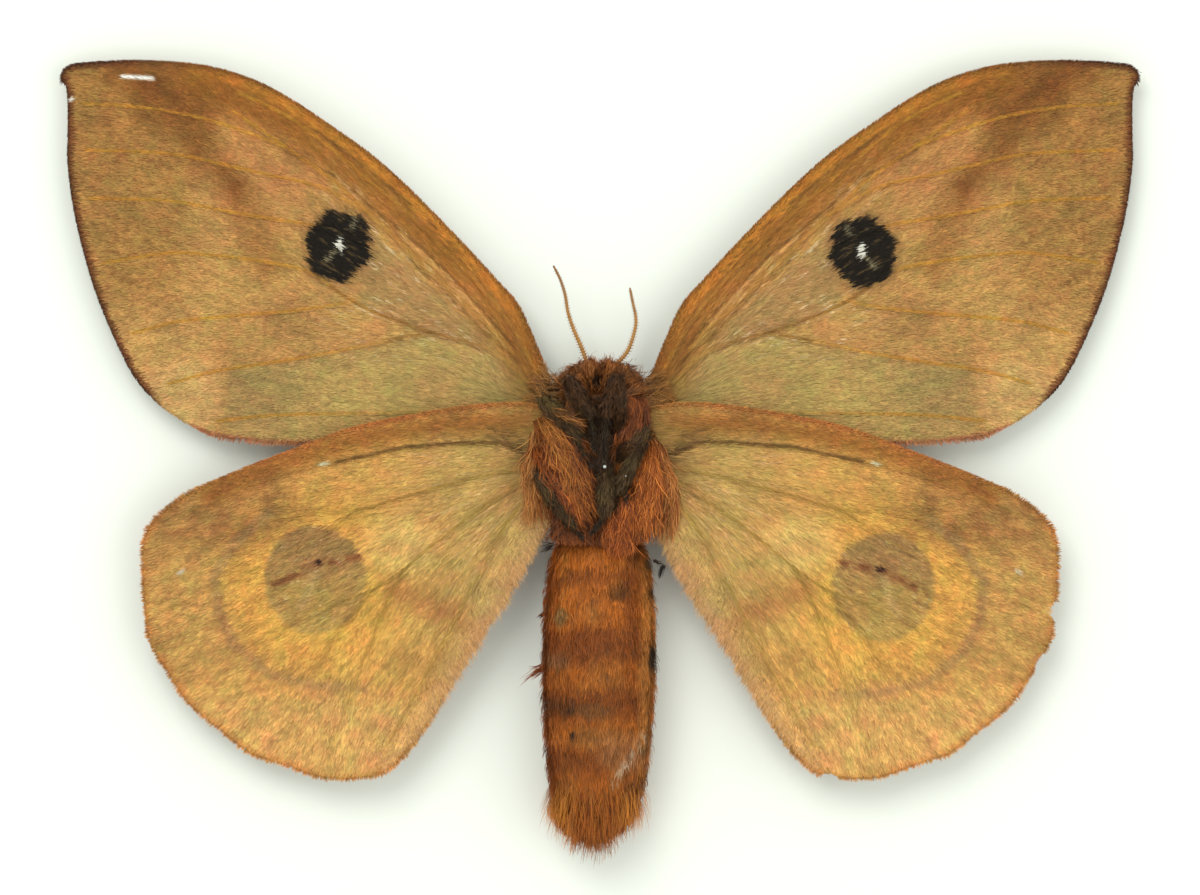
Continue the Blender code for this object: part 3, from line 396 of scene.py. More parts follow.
# Colours of the body.
THORAX_HAIR = (150, 82, 28)
THORAX_LIGHT = (216, 134, 54)
ABDOMEN_HAIR = (190, 106, 32)
ABDOMEN_DARK = (120, 60, 20)
ABDOMEN_TIP = (160, 84, 22)
HEAD_HAIR = (150, 92, 44)
LEG_HAIR = (76, 56, 32)
LEG_OLIVE = (106, 90, 52)
COXA_RED = (138, 72, 30)
TUFT_GOLD = (224, 142, 50)
EYE_BLACK = (30, 22, 16)
EYE_BROWN = (64, 46, 28)
HORN = (172, 118, 40)
HORN_BROWN = (120, 78, 34)
HORN_DARK = (108, 68, 30)
CLAW_BROWN = (40, 24, 12)
GLINT_GREY = (190, 196, 188)


def linear(colours):
    """sRGB from 0 to 255 as the linear values that Blender keeps."""
    share = np.clip(np.asarray(colours, float) / 255, 0, 1)
    return np.where(share <= 0.04045, share / 12.92, ((share + 0.055) / 1.055) ** 2.4)


def plain(colour, points):
    """One colour for every point."""
    return np.tile(np.array(colour, float), (len(points), 1))


def mix(base, colour, weight):
    """The base colours with another over them: none of it at weight 0, and it alone at 1."""
    weight = np.clip(weight, 0, 1)[:, None]
    return base * (1 - weight) + np.asarray(colour, float) * weight


def blend(colours, layers):
    """The colours with each named layer's colour over them, at that layer's weight."""
    for colour, weight in layers.values():
        colours = mix(colours, colour, weight)
    return colours


def varied(colours, draw, amount):
    """The colours, a little darker or lighter from piece to piece."""
    return colours * draw.normal(1.0, amount, (len(colours), 1))


def smooth_step(value):
    """A smooth rise from 0 to 1 as the value does, flat beyond."""
    value = np.clip(value, 0, 1)
    return value * value * (3 - 2 * value)


def ramp(value, start, end):
    """A smooth rise from 0 at start to 1 at end, where either may be the larger."""
    return smooth_step((value - start) / (end - start))


def noise(points, size, seed):
    """Smooth noise from -1 to 1, with features of about this size along each axis."""
    table = np.random.default_rng(seed).uniform(-1, 1, (128, 128))
    cells = np.asarray(points)[:, :2] / np.asarray(size, float) + 40
    low = np.floor(cells).astype(int)
    part = smooth_step(cells - low)
    i, j = low[:, 0] % 128, low[:, 1] % 128
    after_i, after_j = (i + 1) % 128, (j + 1) % 128
    first = table[i, j] * (1 - part[:, 0]) + table[after_i, j] * part[:, 0]
    second = table[i, after_j] * (1 - part[:, 0]) + table[after_i, after_j] * part[:, 0]
    return first * (1 - part[:, 1]) + second * part[:, 1]


def spline(points, steps, closed=False):
    """Points on the smooth curve through points, with this many steps from one to the next."""
    points = [np.array(p, float) for p in points]
    count = len(points)
    made = []
    for i in range(count if closed else count - 1):
        before = points[i - 1] if closed or i > 0 else 2 * points[0] - points[1]
        here, after = points[i], points[(i + 1) % count]
        if closed or i + 2 < count:
            beyond = points[(i + 2) % count]
        else:
            beyond = 2 * after - here
        for step in range(steps):
            t = step / steps
            made.append(0.5 * (2 * here + (after - before) * t
                               + (2 * before - 5 * here + 4 * after - beyond) * t ** 2
                               + (3 * here - before - 3 * after + beyond) * t ** 3))
    if not closed:
        made.append(points[-1])
    return np.array(made)


def evenly(points, spacing):
    """The same curve with points about this far apart."""
    lengths = np.concatenate([[0], np.cumsum(np.linalg.norm(np.diff(points, axis=0), axis=1))])
    count = max(2, round(lengths[-1] / spacing) + 1)
    places = np.linspace(0, lengths[-1], count)
    return np.stack([np.interp(places, lengths, points[:, k]) for k in range(points.shape[1])], axis=1)


def nearest_on_line(points, line):
    """Distance of each point to a polyline, the share of the line it falls at, and the line's direction."""
    line = np.asarray(line, float)
    nearest = np.full(len(points), np.inf)
    along = np.zeros(len(points))
    way = np.zeros_like(points, float)
    for i in range(len(line) - 1):
        start, reach = line[i], line[i + 1] - line[i]
        t = np.clip(((points - start) @ reach) / (reach @ reach), 0, 1)
        away = np.linalg.norm(points - start - t[:, None] * reach, axis=1)
        closer = away < nearest
        nearest[closer] = away[closer]
        along[closer] = (i + t[closer]) / (len(line) - 1)
        way[closer] = reach / np.linalg.norm(reach)
    return nearest, along, way


def near(points, line, width):
    """How close each point is to a polyline: 1 on it, 0 from this far off."""
    return smooth_step(1 - nearest_on_line(points, line)[0] / width)


def in_oval(points, centre, radii, softness):
    """1 inside an oval, 0 outside, over an edge this soft as a share of its size."""
    away = np.linalg.norm((points - np.array(centre)) / np.array(radii), axis=1)
    return smooth_step((1 - away) / softness + 0.5)


def inside(points, outline):
    """Which points lie inside a closed outline."""
    found = np.zeros(len(points), bool)
    for a, b in zip(outline, np.roll(outline, -1, axis=0)):
        crosses = (a[1] > points[:, 1]) != (b[1] > points[:, 1])
        height = b[1] - a[1] if b[1] != a[1] else 1.0
        found ^= crosses & (points[:, 0] < (b[0] - a[0]) * (points[:, 1] - a[1]) / height + a[0])
    return found


def closed_line(outline):
    return np.vstack([outline, outline[:1]])


def unit(vectors):
    return vectors / np.maximum(np.linalg.norm(vectors, axis=-1, keepdims=True), 1e-9)


def add_object(name, mesh):
    obj = bpy.data.objects.new(name, mesh)
    bpy.context.scene.collection.objects.link(obj)
    return obj


def paint(mesh, colours):
    """Gives each point of a mesh its colour."""
    layer = mesh.color_attributes.new("Col", "FLOAT_COLOR", "POINT")
    values = np.ones((len(mesh.vertices), 4), np.float32)
    values[:, :3] = linear(colours)
    layer.data.foreach_set("color", values.ravel())


def mesh_object(name, points, triangles, colours):
    """A smooth mesh from arrays, in millimetres, with a colour for each point."""
    mesh = bpy.data.meshes.new(name)
    mesh.vertices.add(len(points))
    mesh.vertices.foreach_set("co", (points * MM).astype(np.float32).ravel())
    mesh.loops.add(3 * len(triangles))
    mesh.loops.foreach_set("vertex_index", np.asarray(triangles, np.int32).ravel())
    mesh.polygons.add(len(triangles))
    mesh.polygons.foreach_set("loop_start", np.arange(len(triangles), dtype=np.int32) * 3)
    mesh.update(calc_edges=True)
    mesh.shade_smooth()
    paint(mesh, colours)
    return add_object(name, mesh)


def strips(name, paths, across, widths, taper, colours, places, shades=HAIR_SHADES):
    """Tapered strips as one mesh. Each path's last point is its tip, and places are the roots' UV points."""
    count, stations = len(paths), paths.shape[1] - 1
    sideways = across[:, None, :] * (widths[:, None] * np.array(taper)[None, :])[:, :, None] / 2
    edges = np.stack([paths[:, :-1] - sideways, paths[:, :-1] + sideways], axis=2)
    points = np.concatenate([edges.reshape(count, 2 * stations, 3), paths[:, -1:]], axis=1)
    pattern = []
    for k in range(stations - 1):
        a = 2 * k
        pattern += [(a, a + 1, a + 3), (a, a + 3, a + 2)]
    pattern.append((2 * stations - 2, 2 * stations - 1, 2 * stations))
    step = 2 * stations + 1
    triangles = (np.array(pattern)[None] + (np.arange(count) * step)[:, None, None]).reshape(-1, 3)
    # Painted shade darkens each strip towards its root, and painted light lightens its tip.
    shade = np.concatenate([np.repeat(np.linspace(shades[0], 1.0, stations), 2), [shades[1]]])
    painted = (colours[:, None, :] * shade[None, :, None]).reshape(-1, 3)
    obj = mesh_object(name, points.reshape(-1, 3), triangles, painted)
    patch = np.array([(((k % 2) - 0.5) * PATCH, (k // 2 / stations - 0.5) * PATCH) for k in range(step)])
    spread = (places[:, None, :] + patch[None]).reshape(-1, 2)
    layer = obj.data.uv_layers.new(name="OFBake")
    layer.data.foreach_set("uv", spread[triangles.ravel()].astype(np.float32).ravel())
    return obj


def place_piece(obj, slot, look, *nodes):
    """Ties a piece to the part, its look and the nodes that it stands for; the slot is not used."""
    obj.data.materials.clear()
    obj.data.materials.append(look)
    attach(obj, "root")
    if nodes:
        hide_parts(*nodes)


# Shapes and coats of the wings.

def wing_height(kind, x, y):
    """Height of a wing's middle surface. It slopes to the tip, arches, and may drop towards the rear."""
    root, tip, arch, rear_drop = WING_HEIGHTS[kind]
    share = np.clip((np.abs(x) - WING_ROOT_X) / (WING_TIP_X - WING_ROOT_X), 0, 1)
    return (root + (tip - root) * share + arch * np.sin(math.pi * share)
            - rear_drop * np.clip(-y - 2.0, 0, None) * ramp(np.abs(x), 5.0, 13.0))


def vein_lines(veins, spacing=1.2):
    """Smooth lines along the veins, with points about this far apart."""
    return [evenly(spline(v, 6), spacing) for v in veins.values()]


def vein_rise(points, lines):
    """How far each vein lifts the membrane's underside, at each point."""
    rise = np.zeros(len(points))
    for line in lines:
        away, along, _ = nearest_on_line(points, line)
        ridge = np.clip(1 - (away / VEIN_HALF_WIDTH) ** 2, 0, 1) * (1 - 0.75 * along)
        rise = np.maximum(rise, VEIN_RISE * ridge)
    return rise


def sheet_rim(outline, inner_inset, notches):
    """The membrane's own edge, inside the outline of its hair and fringe."""
    rim = spline(outline, 8, closed=True)
    ahead = np.roll(rim, -1, axis=0) - np.roll(rim, 1, axis=0)
    inward = unit(np.stack([ahead[:, 1], -ahead[:, 0]], axis=1))
    depth = FRINGE_DEPTH + inner_inset * ramp(rim[:, 0], 16, 10) * ramp(rim[:, 1], -6, -11)
    rim = rim + inward * depth[:, None] * ramp(rim[:, 0], 4.0, 5.5)[:, None]
    for x, y, reach in notches:
        away = np.linalg.norm(rim - np.array([x, y]), axis=1)
        rim = rim + inward * (reach * np.clip(1.3 - away / reach, 0, 1))[:, None]
    return rim


def worn_away(points, kind, side):
    """Which points lie in a nick of this wing's edge."""
    lost = np.zeros(len(points), bool)
    for x, y, reach in NOTCHES.get((kind, side), ()):
        lost |= np.linalg.norm(points - np.array([x, y]), axis=1) < reach
    return lost


def wing_plan(rim, lines):
    """Points and triangles of a wing seen from above, with edges along its veins."""
    points, edges, first = [rim], [], len(rim)
    for line in lines:
        along = unit(np.gradient(line, axis=0))
        side = np.stack([-along[:, 1], along[:, 0]], axis=1) * VEIN_HALF_WIDTH
        for strip in (line, line + side, line - side):
            strip = strip[inside(strip, rim)]
            edges += [(first + i, first + i + 1) for i in range(len(strip) - 1)]
            points.append(strip)
            first += len(strip)
    low, high = rim.min(axis=0), rim.max(axis=0)
    rows = np.arange(low[1], high[1], SHEET_SPACING * math.sqrt(3) / 2)
    grid = np.array([(x + (SHEET_SPACING / 2 if row % 2 else 0), y) for row, y in enumerate(rows)
                     for x in np.arange(low[0], high[0], SHEET_SPACING)])
    keep = inside(grid, rim) & (nearest_on_line(grid, closed_line(rim))[0] > SHEET_SPACING / 2)
    for line in lines:
        keep &= nearest_on_line(grid, line)[0] > VEIN_HALF_WIDTH * 1.6
    points = np.vstack([*points, grid[keep]])
    made = delaunay_2d_cdt([Vector(p) for p in points], edges, [list(range(len(rim)))], 1, 1e-4)
    flat = np.array([tuple(p) for p in made[0]])
    faces = np.array([face for face in made[2] if len(face) == 3])
    faces = faces[inside(flat[faces].mean(axis=1), rim)]
    used, faces = np.unique(faces, return_inverse=True)
    return flat[used], faces.reshape(-1, 3)


def upward(flat, faces):
    """The triangles, each turned so that it runs anticlockwise seen from above."""
    a, b, c = (flat[faces[:, k]] for k in range(3))
    turn = (b[:, 0] - a[:, 0]) * (c[:, 1] - a[:, 1]) - (b[:, 1] - a[:, 1]) * (c[:, 0] - a[:, 0])
    return np.where(turn[:, None] > 0, faces, faces[:, ::-1])


def boundary(faces):
    """The edges that only one triangle has, in its direction."""
    edges = np.vstack([faces[:, [0, 1]], faces[:, [1, 2]], faces[:, [2, 0]]])
    there = {tuple(e) for e in edges}
    return np.array([e for e in there if (e[1], e[0]) not in there])


def wing_sheet(name, side, kind, rim):
    """The membrane with its raised veins, closed round its rim."""
    _, _, colour_under, colour_top = WINGS[kind]
    lines = VEIN_LINES[kind]
    flat, faces = wing_plan(rim, lines)
    faces = upward(flat, faces)
    middle = wing_height(kind, *flat.T)
    rise = vein_rise(flat, lines)
    top = np.column_stack([flat, middle + MEMBRANE_HALF + rise])
    low = np.column_stack([flat, middle - MEMBRANE_HALF - TOP_RISE_SHARE * rise])
    count = len(flat)
    edge = boundary(faces)
    wall = np.vstack([np.column_stack([edge[:, 0], edge[:, 0] + count, edge[:, 1]]),
                      np.column_stack([edge[:, 1], edge[:, 0] + count, edge[:, 1] + count])])
    triangles = np.vstack([faces, faces[:, ::-1] + count, wall])
    points = np.vstack([top, low]) * np.array([side, 1, 1])
    if side < 0:
        triangles = triangles[:, ::-1]
    colours = np.vstack([colour_under(flat, side), colour_top(flat, side)])
    return mesh_object(name, points, triangles, colours)


def lie_along_veins(points, lines):
    """The way the scales lie: as the nearest veins run."""
    total = np.zeros((len(points), 2))
    for line in lines:
        away, _, way = nearest_on_line(points, line)
        total += way / (away[:, None] ** 2 + 0.6)
    return unit(total)


def scattered(outline, spacing, draw):
    """Points spread evenly but not in rows, inside an outline."""
    low, high = outline.min(axis=0), outline.max(axis=0)
    x, y = np.meshgrid(np.arange(low[0], high[0], spacing), np.arange(low[1], high[1], spacing))
    points = np.column_stack([x.ravel(), y.ravel()]) + draw.uniform(-0.5, 0.5, (x.size, 2)) * spacing
    return points[inside(points, outline)]


def wing_places(points, outline):
    """UV points of a wing: its own shape laid flat."""
    low, high = outline.min(axis=0), outline.max(axis=0)
    return 0.04 + 0.92 * (points - low) / (high - low).max()


def wing_blades(kind, roots, ways, lengths, face, draw):
    """Paths of scales over a wing's underside (face 1) or upper side (face -1)."""
    paths = []
    rise = 1.0 if face > 0 else TOP_RISE_SHARE
    for share, up in ((0.0, -0.04), (0.5, 0.7), (1.0, 1.0)):
        spot = roots + ways * (lengths * share)[:, None]
        lift = SCALE_LIFT * up * (1 if up < 0 else draw.uniform(0.5, 1.3, len(spot)))
        away = MEMBRANE_HALF + vein_rise(spot, VEIN_LINES[kind]) * rise + lift
        paths.append(np.column_stack([spot, wing_height(kind, *spot.T) + face * away]))
    return np.stack(paths, axis=1)


def blade_across(paths, face, draw, roll):
    """Sideways direction of each flat blade, rolled a little about its own length."""
    along = unit(paths[:, -1] - paths[:, 0])
    flat = unit(np.cross(along, UP * face))
    turn = draw.normal(0, roll, len(paths))[:, None]
    return flat * np.cos(turn) + UP * face * np.sin(turn)


def wing_coat(name, side, kind, face, seed):
    """The scales of one face of a wing, as thin blades that lie along the veins."""
    draw = np.random.default_rng(seed)
    colour = WINGS[kind][2 if face > 0 else 3]
    spacing = SCALE_SPACING if face > 0 else TOP_SCALE_SPACING
    rim = RIM_LINES[kind][:-1]
    roots = scattered(rim, spacing, draw)
    if kind == "fore" and face > 0:
        hidden = spline(HINDWING_OUTLINE, 8, closed=True)
        covered = inside(roots, hidden) & (nearest_on_line(roots, closed_line(hidden))[0] > 1.5)
        roots = roots[~covered]
    room = nearest_on_line(roots, RIM_LINES[kind])[0]
    keep = (room > FRINGE_DEPTH * 0.8) & (roots[:, 0] > 4.4) & ~worn_away(roots, kind, side)
    roots, room = roots[keep], room[keep]
    ways = lie_along_veins(roots, LIE_LINES[kind])
    turn = draw.normal(0, 0.1, len(roots)) + 0.1 * noise(roots, 2.2, seed + 1)
    ways = np.stack([ways[:, 0] * np.cos(turn) - ways[:, 1] * np.sin(turn),
                     ways[:, 0] * np.sin(turn) + ways[:, 1] * np.cos(turn)], axis=1)
    near_root = ramp(roots[:, 0], 12, 5)
    lengths = draw.uniform(0.9, 1.7, len(roots)) * (0.6 + 0.5 * ramp(roots[:, 0], 32, 10))
    lengths = np.minimum(lengths * (1 + 0.7 * near_root * (room > 1.5)), room * 0.9)
    paths = wing_blades(kind, roots, ways, lengths, face, draw) * np.array([side, 1, 1])
    colours = varied(colour(roots + ways * 0.4, side), draw, 0.045)
    across = blade_across(paths, face, draw, 0.15)
    widths = draw.uniform(0.1, 0.17, len(roots)) * (spacing / SCALE_SPACING) ** 0.5
    return strips(name, paths, across, widths, (0.75, 1.0), colours, wing_places(roots, rim), SCALE_SHADES)


def forewing_fringe(line, ahead):
    """Short and smooth in front and outside, longer along the rear edge."""
    x, y = line[:, 0], line[:, 1]
    rear = ramp(y, 3.6, 2.1) * ramp(x, 20, 28)
    lean = ahead * (1.3 * (1 - rear))[:, None] + np.column_stack([0.4 * rear, np.zeros(len(line))])
    return 0.03 + 0.42 * rear, 0.4 + 0.35 * rear, lean


def hindwing_fringe(line, ahead):
    """Smooth in front, in short points outside, and covered by long hair on the inner edge."""
    x, y = line[:, 0], line[:, 1]
    inner = ramp(x, 20, 15) * ramp(y, -2, -5)
    costal = ramp(y, -4.0, -1.0)
    outer = 1 - np.maximum(inner, costal)
    points_of_it = 0.6 + 0.6 * np.abs(noise(line, 0.45, 49))
    reach = 0.2 * inner + 0.03 * costal + 0.5 * outer * points_of_it
    lean = ahead * (1.3 * costal)[:, None] + np.column_stack([0.15 * outer, -0.9 * inner - 0.2 * outer])
    return reach, 0.4 + 0.4 * inner, lean


def fringe(name, side, kind, seed):
    """Hair round a wing's edge, longer where it is in life."""
    draw = np.random.default_rng(seed)
    outline, _, colour, _ = WINGS[kind]
    rim = spline(outline, 8, closed=True)
    line = evenly(closed_line(rim), 0.022)
    ahead = unit(np.gradient(line, axis=0))
    kept = (line[:, 0] > 4.6) & ~worn_away(line, kind, side)
    line, ahead = line[kept], ahead[kept]
    outward = np.stack([-ahead[:, 1], ahead[:, 0]], axis=1)
    reach, sink, lean = (forewing_fringe if kind == "fore" else hindwing_fringe)(line, ahead)
    clump = noise(line, 0.5, seed + 3)
    ways = unit(outward + lean + draw.normal(0, 0.16, line.shape) + 0.08 * clump[:, None])
    reach = reach * draw.uniform(0.35, 1.15, len(line)) * (1 + 0.15 * clump)
    starts = line - outward * (sink + draw.uniform(0, 0.5, len(line)) * sink)[:, None]
    full = (reach + sink) / np.maximum((ways * outward).sum(axis=1), 0.3)
    paths = []
    layer = draw.uniform(-0.1, 0.14, len(line))
    for share, drop in ((0.0, 0.0), (0.4, 0.03), (0.75, 0.0), (1.0, -0.1)):
        spot = starts + ways * (full * share)[:, None]
        paths.append(np.column_stack([spot, wing_height(kind, *spot.T) + layer + drop * reach]))
    paths = np.stack(paths, axis=1) * np.array([side, 1, 1])
    across = blade_across(paths, 1, draw, 0.4)
    colours = varied(colour(line, side), draw, 0.08)
    widths = draw.uniform(0.06, 0.11, len(line))
    return strips(name, paths, across, widths, (0.9, 1.0, 0.7), colours, wing_places(line, rim))


def inner_edge_hair(name, side, seed):
    """Long soft hair that lies out from the hindwing's inner edge towards the abdomen."""
    draw = np.random.default_rng(seed)
    line = evenly(spline(HINDWING_OUTLINE[-INNER_EDGE_POINTS:], 8), 0.1)
    ahead = unit(np.gradient(line, axis=0))
    picked = draw.integers(0, len(line), INNER_HAIRS)
    outward = np.stack([-ahead[picked, 1], ahead[picked, 0]], axis=1)
    depth = INNER_HAIR_DEPTH * draw.uniform(0, 1, INNER_HAIRS) ** 2.2
    roots = line[picked] - outward * (0.8 + depth)[:, None] + draw.normal(0, 0.1, outward.shape)
    soft = ramp(roots[:, 1], -30, -19) * ramp(roots[:, 1], -3.5, -7.5)
    wave = noise(roots, 0.8, seed + 1)[:, None] * np.array([0.3, 0.12])
    ways = unit(outward * 0.75 + np.array([0.12, -0.7]) + wave + draw.normal(0, 0.17, outward.shape))
    room = (0.9 + depth + draw.uniform(-0.3, 0.6, INNER_HAIRS) ** 3 * 3) / 0.73
    lengths = np.minimum(draw.uniform(0.6, 1.1, INNER_HAIRS) * (1.0 + 1.5 * soft), room)
    bend = np.column_stack([-ways[:, 1], ways[:, 0]]) * draw.normal(0.1, 0.12, INNER_HAIRS)[:, None]
    paths = []
    for share in np.linspace(0, 1, 5):
        spot = roots + ways * (lengths * share)[:, None] + bend * (lengths * share ** 2)[:, None]
        lift = 0.06 + 0.09 * math.sin(math.pi * share) - 0.16 * share ** 2
        paths.append(np.column_stack([spot, wing_height("hind", *spot.T) + MEMBRANE_HALF + lift]))
    paths = np.stack(paths, axis=1) * np.array([side, 1, 1])
    pink = 0.2 + 0.6 * draw.uniform(0, 1, INNER_HAIRS) * smooth_step(1.7 - depth)
    colours = varied(mix(hindwing_under(roots, side), PINK_HAIR, pink), draw, 0.1)
    across = blade_across(paths, 1, draw, 0.5)
    widths = draw.uniform(0.04, 0.07, INNER_HAIRS)
    places = wing_places(roots, spline(HINDWING_OUTLINE, 8, closed=True))
    return strips(name, paths, across, widths, (0.9, 1.0, 0.9, 0.6), colours, places, SCALE_SHADES)


# Markings of the wings.

def flow(points, kind):
    """Streaky coordinates that follow the scales: turn about the wing's root, and distance from it."""
    away = points - np.array(FLOW_ROOTS[kind])
    return np.column_stack([np.arctan2(away[:, 1], away[:, 0]) * 30, np.linalg.norm(away, axis=1)])


def speckle(colours, points, kind, amount, seed):
    """Fine streaks and mottling, as single scales of other colours give."""
    streaks = noise(flow(points, kind), (0.35, 1.6), seed)
    fine = noise(points, 0.35, seed + 1)
    broad = noise(points, 2.6, seed + 2)
    colours = colours * (1 + amount * (0.55 * streaks + 0.55 * fine + 0.3 * broad))[:, None]
    tint = noise(points, 0.45, seed + 50) + noise(points, 1.5, seed + 51)
    return colours * (1 + tint[:, None] * np.array(TINT))


def veins_painted(colours, points, lines, colour, width, strength, fade):
    """Veins in a colour of their own, which fade towards the wing's root from this x inwards."""
    outward = ramp(points[:, 0], fade, fade + 16)
    for line in lines:
        away = nearest_on_line(points, line)[0]
        colours = mix(colours, colour, strength * (0.3 + 0.7 * outward) * smooth_step(1.4 - away / width))
    return colours


def forewing_under(points, side):
    """The forewing's underside: copper front, olive rear, dark outer line and black eyespot."""
    x, y = points.T
    lines = FOREWING_LINES
    wander = noise(points, 4.0, 21) * 0.9
    outer = smooth_step((x + 0.12 * y - 43.5 + wander) / 4) * ramp(y, 9, 19)
    rear_edge = np.interp(x, (8, 17, 28, 40), (9.6, 12.9, 11.0, 9.1))
    rear = smooth_step((rear_edge - y + 0.3 * wander) / 1.4 + 0.5)
    rear = rear * smooth_step((39.6 - x + 0.6 * wander) / 1.8)
    upper = in_oval(points, (44.3, 38.0), (6.4, 3.8), 0.8) * ramp(x, 49.6, 47.4)
    band = near(points, lines["band"], 3.4) * (0.74 - 0.26 * ramp(y, 28, 20))
    low_shade = near(points, ((33, 15), (31, 13.5)), 3.0) + 0.5 * near(points, ((38.3, 11), (38.4, 3.0)), 2.2)
    speck = smooth_step(noise(points, 0.3, 23) * 1.7 - 0.3) * ramp(x, 38, 46)
    shine = smooth_step(noise(flow(points, "fore"), (0.2, 2.2), 24) * 2.0 - 0.8)
    shine = shine * ramp(x, 31, 23) * ramp(x, 9, 14) * ramp(y, 8, 13)
    streaks = noise(flow(points, "fore"), (0.5, 5.0), 27)
    rim = nearest_on_line(points, RIM_LINES["fore"])[0]
    costal = ramp(y - 0.75 * x, 1, 4)
    ahead = costal * ramp(x, 44, 38)
    root = ramp(x, 10.5, 5.5) * (0.9 + 0.4 * streaks)
    colours = blend(plain(PINK_TAN, points), {
        "front": (COPPER, 0.85 * near(points, lines["front"], 9.0)),
        "rosy patch": ((190, 131, 76), 0.6 * in_oval(points, (34.5, 31.0), (7.0, 6.5), 0.9)),
        "outer part": (TAN, (0.68 + 0.2 * ramp(y, 26, 34)) * outer),
        "low outer part": ((193, 150, 86), 0.85 * ramp(x, 38, 43) * ramp(y, 20, 12)),
        "cell": ((164, 128, 78), 0.65 * inside(points, np.array([(9, 10), (25, 25), (24.5, 16), (18, 13)]))),
        "rear part": (OLIVE, 0.85 * rear),
        "rear root": ((150, 128, 78), 0.5 * rear * ramp(x, 16, 7)),
        "grey patch": ((152, 122, 76), 0.3 * rear * in_oval(points, (35.5, 7.5), (5.0, 4.4), 0.9)),
        "rear corner": ((202, 160, 98), 0.75 * in_oval(points, (43.0, 6.4), (4.6, 3.8), 0.6) * (1 - rear)),
        "band": (SHADE, band * (0.8 + 0.35 * noise(points, 1.5, 22))),
        "band's top": (SHADE, 0.5 * upper),
        "low shade": ((134, 100, 56), 0.35 * low_shade),
        "specks": ((122, 76, 38), 0.4 * speck * ramp(y, 8, 18)),
        "shine": ((232, 206, 168), 0.6 * shine),
        "costa": (COSTA, np.clip(1.25 * near(points, lines["costa"], 4.4), 0, 0.9) * (0.85 + 0.2 * streaks)),
        "golden edge": (COSTA_EDGE, 0.75 * smooth_step(1.3 - np.abs(rim - 0.9) / 0.6) * ahead),
        "olive root": ((158, 118, 62), 0.6 * root * ramp(y, 9.6, 7.6)),
        "brown root": ((128, 84, 40), 0.6 * root * ramp(y, 8.6, 10.6)),
    })
    broken = smooth_step(0.8 + noise(points, 0.35, 90))
    for line in FOREWING_STREAKS:
        colours = mix(colours, (100, 68, 32), 0.6 * near(points, line, 0.32) * broken)
    colours = mix(colours, (212, 164, 96), 0.6 * near(points, lines["light streak"], 0.36))
    colours = veins_painted(colours, points, VEIN_LINES["fore"], VEIN, 0.18, 0.68, 18)
    cubitus = near(points, FOREWING_VEINS["cubitus"], 0.3) + near(points, FOREWING_VEINS["cubitus_2"][:2], 0.3)
    margin = smooth_step(2.1 - (rim + 0.08 * noise(points, 0.4, 91)) / 0.5)
    margin = margin * smooth_step((x - 44 + 0.4 * (y - 8)) / 3) * (1 - 0.8 * costal * ramp(x, 52, 44))
    at_rim = smooth_step(2.0 - rim / 0.2)
    hem = smooth_step(1.2 - rim / 0.6) * ramp(y, 4.0, 3.0) * ramp(x, 24, 29)
    colours = blend(colours, {
        "dark vein": ((120, 82, 36), 0.55 * cubitus * ramp(x, 9, 14)),
        "margin": (MARGIN, 0.85 * margin),
        "margin's edge": ((70, 38, 20), 0.8 * margin * at_rim),
        "front edge": ((146, 90, 36), 0.5 * at_rim * ahead),
        "rear hem": ((176, 106, 74), 0.75 * hem),
    })
    colours = speckle(colours, points, "fore", 0.12, 25)
    if side < 0:
        for line, width in WHITE_TIP_MARKS:
            colours = mix(colours, (246, 246, 238), near(points, line, width))
    return eyespot(colours, points, FOREWING_SPOTS[side])


def eyespot(colours, points, centre):
    """The forewing's black spot with its furry edge, painted highlights on its hairs and irregular pale pupil.
    """
    away = points - np.array(centre)
    lean = np.array([(0.94, -0.34), (0.34, 0.94)])
    turned = away @ lean
    angle = np.arctan2(turned[:, 1], turned[:, 0])
    edge = 1 + 0.045 * np.cos(6 * angle) + 0.06 * noise(points, 0.45, 31)
    size = np.linalg.norm(turned / np.array([3.65, 3.95]), axis=1) / edge
    ragged = noise(flow(points, "fore"), (0.25, 0.9), 32) * 0.09
    # Painted highlights: lighter strokes on the spot's hairs.
    hairs = smooth_step(noise(flow(points, "fore"), (0.18, 1.0), 33) * 2.2 - 0.7) * (size < 1.0)
    rays = near(away, ((-1.75, 2.7), (-1.4, 1.8)), 0.4) + near(away, ((0.2, -0.4), (1.3, -1.6)), 0.35)
    pupil = away - np.array([-0.15, 0.15])
    shape = np.abs(pupil[:, 0] + 0.3 * noise(points, 0.5, 34)) / 0.4 + np.abs(pupil[:, 1]) / 1.2
    return blend(colours, {
        "halo": ((120, 84, 48), 0.35 * ramp(size, 1.22, 0.97)),
        "spot": (SPOT, 0.97 * smooth_step((1.0 - size + ragged) / 0.14)),
        "hairs": ((122, 98, 60), 0.5 * hairs * ramp(size, 0.15, 0.45)),
        "rays": ((196, 184, 142), 0.55 * rays),
        "pupil": (PUPIL, 0.95 * ramp(shape, 1.05, 0.75)),
    })


